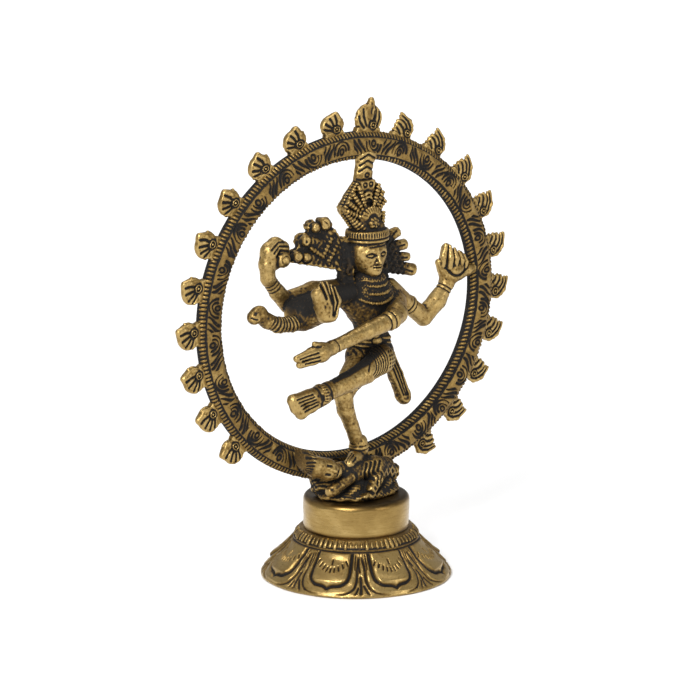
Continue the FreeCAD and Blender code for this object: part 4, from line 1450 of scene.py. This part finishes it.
def left_flame(P):
    plate = np.maximum(egg(P, (-0.2, 0, 3.9), (3.6, 2.4, 3.6)), np.abs(P[..., 1]) - 0.85)
    plate = melt(plate, flat_limb(P, 0.85, (0.2, 0, 4.6, 2.7), (1.0, 0, 6.6, 1.4)), 0.6)
    flutes = [((1.4, 0, 3.6, 0.75), (1.7, 0, 5.4, 1.1), (1.3, 0, 7.2, 0.95)),
              ((0.4, 0, 3.8, 0.6), (0.2, 0, 5.4, 0.8), (-0.3, 0, 7.0, 0.6)),
              ((-0.4, 0, 3.4, 0.6), (-1.4, 0, 4.9, 0.8), (-2.2, 0, 6.0, 0.6)),
              ((-0.6, 0, 2.8, 0.6), (-2.2, 0, 3.7, 0.75), (-3.2, 0, 4.4, 0.55)),
              ((-0.6, 0, 2.0, 0.6), (-2.2, 0, 2.3, 0.65), (-3.3, 0, 2.6, 0.5)),
              ((1.9, 0, 2.6, 0.6), (2.7, 0, 3.7, 0.7), (3.1, 0, 5.0, 0.5))]
    shape = leaf(P, melt(plate, root_plate(P, 3.4, 1.8), 0.4), flutes)
    return with_eye(P, shape, 0.6, 2.6)


def right_flame(P):
    plate = flat_limb(P, 0.75, (1.5, 0, 1.6, 1.9), (1.3, 0, 4.4, 1.9), (-0.4, 0, 6.2, 1.2),
                      (-1.7, 0, 7.7, 0.5))
    plate = melt(plate, flat_limb(P, 0.75, (-1.2, 0, 1.4, 1.7), (-1.2, 0, 4.4, 1.6)), 0.4)
    flutes = [((3.0, 0, 2.0, 0.6), (3.0, 0, 4.0, 0.75), (1.4, 0, 6.2, 0.85), (-1.3, 0, 7.5, 0.62)),
              ((2.2, 0, 3.7, 0.45), (1.5, 0, 4.8, 0.6), (0.0, 0, 6.0, 0.62), (-1.9, 0, 6.7, 0.4)),
              ((0.5, 0, 3.5, 0.45), (0.1, 0, 4.2, 0.55), (-1.0, 0, 4.9, 0.55), (-2.4, 0, 5.3, 0.4)),
              ((-0.3, 0, 2.0, 0.45), (-0.7, 0, 2.8, 0.55), (-1.8, 0, 3.6, 0.5), (-2.8, 0, 3.8, 0.4)),
              ((-1.6, 0, 1.0, 0.45), (-2.2, 0, 1.9, 0.5), (-3.0, 0, 2.2, 0.4))]
    shape = leaf(P, melt(plate, root_plate(P, 3.5, 1.5), 0.4), flutes, 1.15)
    return with_eye(P, shape, 1.5, 2.4)


def top_flame(P):
    plate = np.maximum(egg(P, (0.1, 0, 4.4), (4.3, 2.6, 4.2)), np.abs(P[..., 1]) - 0.8)
    plate = melt(plate, flat_limb(P, 0.8, (0.6, 0, 6.5, 2.2), (0.4, 0, 9.6, 0.9)), 0.4)
    flutes = [((1.2, 0, 4.0, 0.9), (1.1, 0, 6.6, 1.15), (0.5, 0, 9.8, 0.8)),
              ((2.4, 0, 3.0, 0.5), (3.0, 0, 5.4, 0.6), (2.5, 0, 7.6, 0.45)),
              ((3.3, 0, 1.8, 0.5), (4.0, 0, 3.6, 0.5), (3.8, 0, 5.2, 0.4)),
              ((-0.6, 0, 3.2, 0.6), (-1.3, 0, 5.6, 0.7), (-1.4, 0, 8.0, 0.5)),
              ((-1.4, 0, 2.2, 0.7), (-2.7, 0, 4.2, 0.85), (-3.3, 0, 6.0, 0.7)),
              ((-2.2, 0, 1.4, 0.6), (-3.4, 0, 2.6, 0.65), (-4.0, 0, 3.8, 0.5))]
    shape = leaf(P, melt(plate, root_plate(P, 4.4, 1.8), 0.4), flutes)
    return with_eye(P, shape, 1.2, 2.6)


def wax_model(name, modeller):
    """A loose piece of wax in its own small frame, as a mesh with patina."""
    low, high = np.array((-5.6, -2.4, -1.2)), np.array((5.6, 2.4, 11.8))
    first = np.floor(low / FLAME_GRAIN).astype(int)
    last = np.ceil(high / FLAME_GRAIN).astype(int)
    axes = [np.arange(first[i], last[i] + 1, dtype=np.float32) * FLAME_GRAIN for i in range(3)]
    field = modeller(np.stack(np.meshgrid(*axes, indexing="ij"), -1)).astype(np.float32)
    points, faces = surface(field)
    capped = np.clip(field, -1.2, 1.2)
    groove = sample(blurred(capped, 2), points, 0) - sample(capped, points, 0)
    patina = patina_of(-groove - 0.01, 0.1)
    return new_piece(name, (points + first) * FLAME_GRAIN, faces, ring_brass,
                     patina=patina, shelter=np.zeros(len(points)))


models = {"left": wax_model("wax_left", left_flame), "right": wax_model("wax_right", right_flame),
          "top": wax_model("wax_top", top_flame)}


# %% Setting the flames
def flame_tree():
    """One flame on its place, scaled, turned and roughened."""
    tree, given, result = new_tree("flame_on_ring", [
        ("Model", "Object", None), ("Place", "Vector", None), ("Turn", "Vector", None),
        ("Size", "Vector", None), ("Rough", "Float", 0.0002), ("Seed", "Float", 0.0),
        ("Metal", "Material", None)])
    source = add(tree, "GeometryNodeObjectInfo")
    link(tree, given.outputs["Model"], source.inputs["Object"])
    shift = add(tree, "GeometryNodeTransform")
    link(tree, source.outputs["Geometry"], shift.inputs["Geometry"])
    link(tree, given.outputs["Place"], shift.inputs["Translation"])
    link(tree, given.outputs["Turn"], shift.inputs["Rotation"])
    link(tree, given.outputs["Size"], shift.inputs["Scale"])
    real = add(tree, "GeometryNodeRealizeInstances")
    link(tree, shift.outputs[0], real.inputs["Geometry"])
    grit = add(tree, "ShaderNodeTexNoise", noise_dimensions="4D")
    grit.inputs["Scale"].default_value = 380.0
    grit.inputs["Detail"].default_value = 2.0
    link(tree, given.outputs["Seed"], grit.inputs["W"])
    centred = add(tree, "ShaderNodeVectorMath", operation="SUBTRACT")
    link(tree, grit.outputs["Color"], centred.inputs[0])
    centred.inputs[1].default_value = (0.5, 0.5, 0.5)
    amount = add(tree, "ShaderNodeVectorMath", operation="SCALE")
    link(tree, centred.outputs[0], amount.inputs[0])
    link(tree, given.outputs["Rough"], amount.inputs["Scale"])
    push = add(tree, "GeometryNodeSetPosition")
    link(tree, real.outputs[0], push.inputs["Geometry"])
    link(tree, amount.outputs[0], push.inputs["Offset"])
    paint = add(tree, "GeometryNodeSetMaterial")
    link(tree, push.outputs[0], paint.inputs["Geometry"])
    link(tree, given.outputs["Metal"], paint.inputs["Material"])
    link(tree, paint.outputs[0], result.inputs["Geometry"])
    return tree


flames = flame_tree()
OUTER_HALF = (middle_x + half_band + 1.3, middle_z + half_band + 1.3)
FLAME_SINK = 0.75
FLAME_Y = 3.7
FLAME_GRIT = 0.55 * MM
TOP_LENGTH = 10.6      # length of the wax models above their root
SIDE_LENGTH = 8.5
TIP_X = float(box_mm(*[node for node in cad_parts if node.startswith("flame_left")])[0][0])
TIP_HALF = (abs(TIP_X) + 0.05, abs(TIP_X) - 4.5)


def set_flame(node, seed):
    """Reads where its CAD flame stands and sets a wax flame there."""
    low, high = box_mm(node)
    middle = (low + high) / 2
    off = middle - RING_MIDDLE
    angle = math.atan2(off[2] / OUTER_HALF[1], off[0] / OUTER_HALF[0])
    root = np.array((OUTER_HALF[0] * math.cos(angle), OUTER_HALF[1] * math.sin(angle)))
    tip = np.array((TIP_HALF[0] * math.cos(angle), TIP_HALF[1] * math.sin(angle)))
    kind = "top" if node == "flame_top" else "left" if "left" in node else "right"
    if kind == "top":
        tip = tip * (high[2] - RING_MIDDLE[2]) / tip[1]
    way = (tip - root) / np.linalg.norm(tip - root)
    root = root - way * FLAME_SINK
    model_length = TOP_LENGTH if kind == "top" else SIDE_LENGTH
    scale = float(np.linalg.norm(tip - root)) / model_length
    blank = new_piece("shell_" + node, [(0, 0, 0), (0, 0, 0.1), (0.1, 0, 0)], [(0, 1, 2)], ring_brass)
    grown(blank, flames, Model=models[kind],
          Place=((RING_MIDDLE[0] + root[0]) * MM, FLAME_Y * MM, (RING_MIDDLE[2] + root[1]) * MM),
          Turn=(0.0, math.atan2(way[0], way[1]), 0.0), Size=(1.0, 1.0, scale), Rough=FLAME_GRIT,
          Seed=float(seed), Metal=ring_brass)
    settle(blank, "ring_brass", node)
    return blank


flame_nodes = [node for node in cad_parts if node.startswith("flame_") and node != "flame_ring"]
for seed, node in enumerate(sorted(flame_nodes)):
    shell = set_flame(node, seed)
for model in models.values():
    bpy.data.objects.remove(model)
print(len(flame_nodes), "flames, the last with", len(shell.data.polygons), "faces")

# %% [markdown]
# ## The foot
# The base is spun on a lathe, so it is made the same way here: a profile is turned round the axis. Into the
# turned skirt eight lotus petals are chased. The pattern is written in plain lengths, u across a
# petal and v down from the collar, and pressed in as the profile goes round. The underside is hollow.

# %% Turning
PETALS = 8
FIRST_PETAL = -149.0
SKIRT_TOP = float(box_mm("lotus_skirt")[1][2])
# (radius, depth below the top) along the outside and the inside
OUTSIDE = [(16.4, 0.0), (16.8, 0.02), (17.0, 0.6), (19.7, 3.2), (23.2, 6.5), (25.4, 9.0),
           (25.4, 10.0), (24.9, 10.4)]
INSIDE = [(23.0, 10.4), (23.0, 9.8), (21.2, 7.7), (17.9, 4.8), (14.4, 1.9), (12.0, 1.2), (12.0, 0.0)]


def even_profile(corners, step):
    """Points every step millimetres along a profile, with the walked distance."""
    corners = np.array(corners, float)
    lengths = np.concatenate([[0], np.cumsum(np.hypot(*np.diff(corners, axis=0).T))])
    count = max(2, int(round(lengths[-1] / step)))
    at = np.linspace(0, lengths[-1], count + 1)
    return np.stack([np.interp(at, lengths, corners[:, 0]), np.interp(at, lengths, corners[:, 1])], 1), at


def to_line(u, v, path):
    """Distance from points (u, v) to a broken line."""
    nearest = np.full(np.shape(u), 99.0)
    for (u0, v0), (u1, v1) in zip(path, path[1:]):
        du, dv = u1 - u0, v1 - v0
        t = np.clip(((u - u0) * du + (v - v0) * dv) / (du * du + dv * dv), 0, 1)
        nearest = np.minimum(nearest, np.hypot(u - u0 - t * du, v - v0 - t * dv))
    return nearest


def curve(points, steps=6):
    """Smooth line through points."""
    points = np.array([points[0], *points, points[-1]], float)
    line = []
    for a, b, c, d in zip(points, points[1:], points[2:], points[3:]):
        for t in np.arange(steps) / steps:
            line.append(0.5 * (2 * b + (c - a) * t + (2 * a - 5 * b + 4 * c - d) * t ** 2
                               + (3 * b - a - 3 * c + d) * t ** 3))
    return [tuple(p) for p in line] + [tuple(points[-1])]


def petal_height(u, v):
    """Height of the chasing (mm, negative is a cut) and its darkness, at u across and v down a petal."""
    side = np.abs(u)
    inner = curve([(4.9, 0.3), (5.1, 3.0), (5.3, 6.0), (5.0, 8.2), (3.6, 9.5), (1.2, 9.9), (0.0, 10.6)])
    outer = curve([(6.9, 1.2), (7.0, 4.5), (7.6, 8.0), (7.2, 10.4), (5.4, 12.0), (2.6, 12.9)])
    slit = curve([(5.9, 0.4), (6.1, 2.4), (6.5, 4.6)])
    d_inner = to_line(side, v, inner)
    d_outer = to_line(side, v, outer)
    d_slit = to_line(side, v, slit)
    cut = np.maximum(1.0 * stroke(d_inner, 0.42), 0.8 * stroke(d_outer, 0.3))
    cut = np.maximum(cut, 0.6 * stroke(d_slit, 0.2))
    # a row of short dashes like a necklace, and one dash above its middle
    for k in range(-4, 5):
        lean = k * 0.15
        top = (k * 0.92, 4.6 - 0.13 * k * k + 0.1 * math.sin(1.0 + k))
        end = (top[0] + 1.25 * math.sin(lean), top[1] + 1.25 * math.cos(lean))
        cut = np.maximum(cut, 0.75 * stroke(to_line(u, v, [top, end]), 0.19))
    cut = np.maximum(cut, 0.75 * stroke(to_line(u, v, [(0.0, 2.2), (0.05, 3.5)]), 0.2))
    inside = np.clip((5.2 - side) / 1.2, 0, 1) * np.clip((9.8 - v) / 1.2, 0, 1)
    pillow = 0.55 * inside * (0.55 + 0.45 * np.clip(v / 8, 0, 1))
    rim = 0.22 * np.clip((7.4 - side) / 0.8, 0, 1) * np.clip((12.6 - v) / 1.0, 0, 1)
    return pillow + rim - 0.62 * cut, cut


def between_height(u, v):
    """The same between two petals, u measured from the middle of the gap."""
    cut = np.zeros(np.shape(u))
    for path, width in (([(-0.9, 0.3), (-0.4, 5.2)], 0.26), ([(0.8, 0.3), (1.1, 3.4), (2.1, 6.4)], 0.26),
                        ([(-0.2, 6.8), (-0.1, 9.0), (-0.3, 12.2)], 0.34), ([(0.6, 9.4), (2.1, 12.4)], 0.3),
                        ([(-0.9, 10.0), (-1.9, 12.2)], 0.24)):
        cut = np.maximum(cut, 0.85 * stroke(to_line(u, v, path), width))
    return -0.55 * cut, cut


def skirt_pattern(angle, v, radius):
    """Chasing on the skirt at an angle (degrees), v down it and a radius."""
    step = 360.0 / PETALS
    turn = (angle - FIRST_PETAL + step / 2) % step - step / 2
    spread = radius * math.pi / 180
    narrow = 1.0 + 0.06 * np.clip((6 - v) / 6, 0, 1)
    height, cut = petal_height(turn * spread * narrow, v)
    gap = (turn % step) - step / 2
    gap_height, gap_cut = between_height(gap * spread, v)
    free = np.clip((np.abs(turn * spread) - 7.2 + 0.25 * np.clip(6 - v, 0, 6)) / 0.6, 0, 1)
    return height + gap_height * free, np.maximum(cut, gap_cut * free)


def turned(name, columns, outside, inside, top, chase, material, step=0.2, inside_step=1.5):
    """A turned and closed piece; chase(angle, walked, radius) gives height and darkness."""
    outer, walked = even_profile(outside, step)
    inner, _ = even_profile(inside, inside_step)
    profile = np.concatenate([outer, inner])
    rows = len(profile)
    angle = np.arange(columns) * 360.0 / columns
    A, R = np.meshgrid(angle, profile[:, 0], indexing="ij")
    _, D = np.meshgrid(angle, profile[:, 1], indexing="ij")
    height = np.zeros_like(A)
    dark = np.full_like(A, 0.55)
    count = len(outer)
    slope = np.gradient(outer, axis=0)
    slope = slope / np.linalg.norm(slope, axis=1)[:, None]
    _, V = np.meshgrid(angle, walked, indexing="ij")
    h, c = chase(A[:, :count], V, R[:, :count])
    fade = np.clip(V / 0.5, 0, 1) * np.clip((walked[-1] - V) / 0.5, 0, 1)
    height[:, :count] = h * fade
    dark[:, :count] = c
    out_r = np.zeros(rows)
    out_d = np.zeros(rows)
    out_r[:count] = slope[:, 1]
    out_d[:count] = -slope[:, 0]
    R = R + height * out_r
    D = D + height * out_d
    turn = np.radians(A)
    points = np.stack([R * np.cos(turn), R * np.sin(turn), top - D], -1).reshape(-1, 3)
    return new_piece(name, points, strip_faces(columns, rows, flip=True), material,
                     patina=dark.ravel(), shelter=np.zeros(len(points)))


def skirt_chase(angle, walked, radius):
    height, cut = skirt_pattern(angle, walked - 0.9, radius)
    height = height - 0.45 * np.clip(walked / 3.0, 0, 1)
    lip = np.clip((walked - 12.9) / 0.8, 0, 1)
    under_collar = stroke(walked - 0.35, 0.5)
    height = height * (1 - lip) * np.clip(walked / 1.0, 0, 1) - 0.35 * under_collar
    hand = 0.10 * np.sin(np.radians(angle) * 5 + walked) + 0.06 * np.sin(np.radians(angle) * 13 - walked * 2)
    return height + hand * 0.6, np.clip(np.maximum(cut * (1 - lip) * 1.15, under_collar * 1.3), 0, 1)


skirt = turned("lotus_foot", 1080, OUTSIDE, INSIDE, SKIRT_TOP, skirt_chase, base_brass)
settle(skirt, "base_brass", "lotus_skirt")
print(skirt.name, len(skirt.data.polygons), "faces")

# %% Collar
collar_top = float(box_mm("bead_collar")[1][2])


def collar_chase(angle, walked, radius):
    wave = np.sin(np.radians(angle) * 3 + 1.2)
    groove = stroke(walked - 4.45, 0.28)
    return -0.2 * groove + 0.08 * wave, np.clip(0.8 * groove + 0.3, 0, 1)


collar = turned("collar_with_dentils", 360,
                [(13.0, -0.1), (14.2, -0.15), (14.9, 0.05), (15.5, 0.8), (16.75, 2.2), (16.8, 2.6)],
                [(16.7, 2.75), (12.4, 2.75), (12.4, -0.1)], collar_top, collar_chase, base_brass)
DENTIL_R = 15.75
grown(collar, beads, Half_X=DENTIL_R * MM, Half_Z=DENTIL_R * MM, Centre=(0.0, 0.0, (collar_top - 1.15) * MM),
      Flat=True, Count=72, Size=(0.56 * MM, 0.5 * MM, 1.3 * MM), Tilt=(math.radians(-42), 0.0, 0.0),
      Uneven=0.3, Seed=11, Metal=base_brass)
settle(collar, "base_brass", "bead_collar")
print(collar.name, len(collar.data.polygons), "faces")

# %% [markdown]
# ## The drum
# The plain drum under the figure is the only part that was scraped and polished, so it is smoother and
# brighter. It was held against the wheel by hand: the surface has fine turning marks, soft dents on
# one side and a slightly grainy skin.


# %% Polished brass
def polished_brass():
    material, tree, shader, coords = start_material("polished_brass")
    stretch = add(tree, "ShaderNodeMapping")
    stretch.inputs["Scale"].default_value = (1.0, 1.0, 14.0)
    link(tree, coords, stretch.inputs["Vector"])
    lines = noise(tree, stretch.outputs["Vector"], 260.0, detail=5.0, rough=0.7)
    broad = noise(tree, coords, 95.0)
    fine = noise(tree, coords, 1300.0, detail=4.0)
    patina = add(tree, "ShaderNodeAttribute", attribute_name="patina").outputs["Fac"]
    tone = blend(tree, broad, 0.75, lines, 0.35)
    tone = maths(tree, "ADD", tone, maths(tree, "MULTIPLY", patina, 0.8))
    colour = ramp(tree, tone, [(0.30, (0.52, 0.37, 0.15)), (0.55, (0.31, 0.205, 0.068)),
                               (0.80, (0.19, 0.115, 0.034)), (1.0, (0.05, 0.033, 0.014))])
    link(tree, colour, shader.inputs["Base Color"])
    shader.inputs["Metallic"].default_value = 1.0
    rough = maths(tree, "ADD", maths(tree, "MULTIPLY", lines, 0.20), 0.17)
    rough = maths(tree, "ADD", rough, maths(tree, "MULTIPLY", patina, 0.35))
    link(tree, rough, shader.inputs["Roughness"])
    rough_skin(tree, shader, blend(tree, lines, 0.7, fine, 0.3), 0.25, 0.1 * MM)
    return material


drum_brass = polished_brass()

# %% Drum
drum_low, drum_high = box_mm("drum")
DRUM_R = float(drum_high[0])
DRUM_TOP = float(drum_high[2])
DRUM_HIGH = DRUM_TOP - float(drum_low[2])
EDGE = 1.7             # radius of the rounded upper edge
STUD_HOLE_R = 2.3
HOLLOW_R = 12.0
TOP_PLATE = 2.5
quarter = [(DRUM_R - EDGE + EDGE * math.sin(t), EDGE - EDGE * math.cos(t))
           for t in np.linspace(0, math.pi / 2, 7)]
drum_outside = [(STUD_HOLE_R, 0.0), (8.0, 0.0), *quarter, (DRUM_R, 4.0), (DRUM_R - 0.15, DRUM_HIGH - 0.6),
                (DRUM_R - 0.3, DRUM_HIGH)]
drum_inside = [(HOLLOW_R, DRUM_HIGH), (HOLLOW_R, TOP_PLATE), (STUD_HOLE_R, TOP_PLATE)]


def drum_chase(angle, walked, radius):
    turn = np.radians(angle)
    hand = 0.12 * np.sin(2 * turn + 0.6) + 0.05 * np.sin(3 * turn + walked * 0.35)
    flank = np.clip((walked - 11.0) / 2.0, 0, 1)
    dents = 0.10 * np.sin(turn * 9 + 1.0) * np.sin(walked * 1.2) * np.clip(-np.cos(turn - 0.35), 0, 1)
    top = 0.55 * (1 - flank)
    foot = 0.5 * np.clip((walked - walked.max() + 1.2) / 1.0, 0, 1)
    return (hand + dents) * flank - 0.1, np.clip(top + foot, 0, 1)


drum = turned("turned_drum", 300, drum_outside, drum_inside, DRUM_TOP, drum_chase, drum_brass, step=0.3)
settle(drum, "polished_brass", "drum")
print(drum.name, len(drum.data.polygons), "faces")

# %% [markdown]
# ## What holds it together
# A threaded stud, a washer and a nut pull the casting down on the foot from inside. They are plain steel, a
# little oiled and dull, and are the CAD parts themselves with a material on.


# %% Fastener steel
def fastener_steel():
    material, tree, shader, coords = start_material("fastener_steel")
    fine = noise(tree, coords, 1200.0, detail=5.0)
    broad = noise(tree, coords, 220.0)
    colour = ramp(tree, blend(tree, broad, 0.6, fine, 0.4),
                  [(0.3, (0.10, 0.07, 0.05)), (0.5, (0.36, 0.35, 0.33)), (0.75, (0.55, 0.55, 0.53))])
    link(tree, colour, shader.inputs["Base Color"])
    shader.inputs["Metallic"].default_value = 1.0
    link(tree, maths(tree, "ADD", maths(tree, "MULTIPLY", fine, 0.35), 0.25), shader.inputs["Roughness"])
    rough_skin(tree, shader, fine, 0.3, 0.08 * MM)
    return material


steel = fastener_steel()
for node in ("mounting_stud", "washer", "hex_nut"):
    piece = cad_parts[node]
    piece.data.materials.clear()
    piece.data.materials.append(steel)
print("fasteners in plain steel")

# %% [markdown]
# ## Floor, light and camera
# Bare metal shows what stands round it, so the light matters as much as the material. A white floor and
# an even pale world fill the reflections, and one large soft light from the left makes the long
# highlights. A weaker one on the right opens the shadows and a third shines down from above. The camera
# stands well back with a long lens.


# %% Floor
def floor():
    mesh = bpy.data.meshes.new("floor")
    half = 3.0
    corners = [(-half, -half, 0), (half, -half, 0), (half, half, 0), (-half, half, 0)]
    mesh.from_pydata(corners, [], [(0, 1, 2, 3)])
    piece = bpy.data.objects.new("floor", mesh)
    bpy.context.scene.collection.objects.link(piece)
    material, tree, shader, coords = start_material("floor_white")
    shader.inputs["Base Color"].default_value = (0.93, 0.93, 0.93, 1)
    shader.inputs["Roughness"].default_value = 0.9
    # far from the lights the paper glows a little, so it stays white up to the horizon
    away = add(tree, "ShaderNodeVectorMath", operation="LENGTH")
    link(tree, coords, away.inputs[0])
    glow = maths(tree, "MULTIPLY", maths(tree, "SUBTRACT", away.outputs["Value"], 0.25, clamp=True), 0.9)
    link(tree, glow, shader.inputs["Emission Strength"])
    shader.inputs["Emission Color"].default_value = (1, 1, 1, 1)
    mesh.materials.append(material)
    return piece


floor()

# %% Light
world = bpy.data.worlds.new("studio")
bpy.context.scene.world = world
world.use_nodes = True
world.node_tree.nodes["Background"].inputs["Color"].default_value = (1.0, 1.0, 1.0, 1)
world.node_tree.nodes["Background"].inputs["Strength"].default_value = 0.52


def aim(piece, place, target):
    """Stands a light or a camera at place, looking at target."""
    piece.location = place
    piece.rotation_euler = (Vector(target) - Vector(place)).to_track_quat("-Z", "Y").to_euler()


def soft_light(name, place, size, power, target=(0, 0, 0.065)):
    lamp = bpy.data.lights.new(name, "AREA")
    lamp.shape = "RECTANGLE"
    lamp.size, lamp.size_y = size
    lamp.energy = power
    piece = bpy.data.objects.new(name, lamp)
    bpy.context.scene.collection.objects.link(piece)
    aim(piece, place, target)


soft_light("key", (-0.85, -0.45, 0.75), (0.45, 0.45), 12.0)
soft_light("fill", (0.35, -0.95, 0.35), (0.4, 0.5), 2.0)
soft_light("top", (0.1, 0.2, 0.9), (0.6, 0.6), 4.0)

# %% Camera
CAMERA_AZIMUTH = -40.0
CAMERA_HEIGHT = 13.2
CAMERA_AWAY = 1.113
LENS = 217.45
LOOK_AT = (0, 0, 0.060)
az, el = math.radians(CAMERA_AZIMUTH), math.radians(CAMERA_HEIGHT)
back = np.array((math.sin(az) * math.cos(el), -math.cos(az) * math.cos(el), math.sin(el)))
right = np.array((math.cos(az), math.sin(az), 0.0))
up = np.cross(back, right)
target = np.array(LOOK_AT) + right * -0.00164 + up * 0.00083
lens = bpy.data.cameras.new("camera")
lens.sensor_width = 36
lens.lens = LENS
lens.clip_start = 0.05
camera = bpy.data.objects.new("camera", lens)
bpy.context.scene.collection.objects.link(camera)
aim(camera, tuple(target + back * CAMERA_AWAY), tuple(target))
bpy.context.scene.camera = camera
bpy.context.scene.view_settings.view_transform = "Standard"
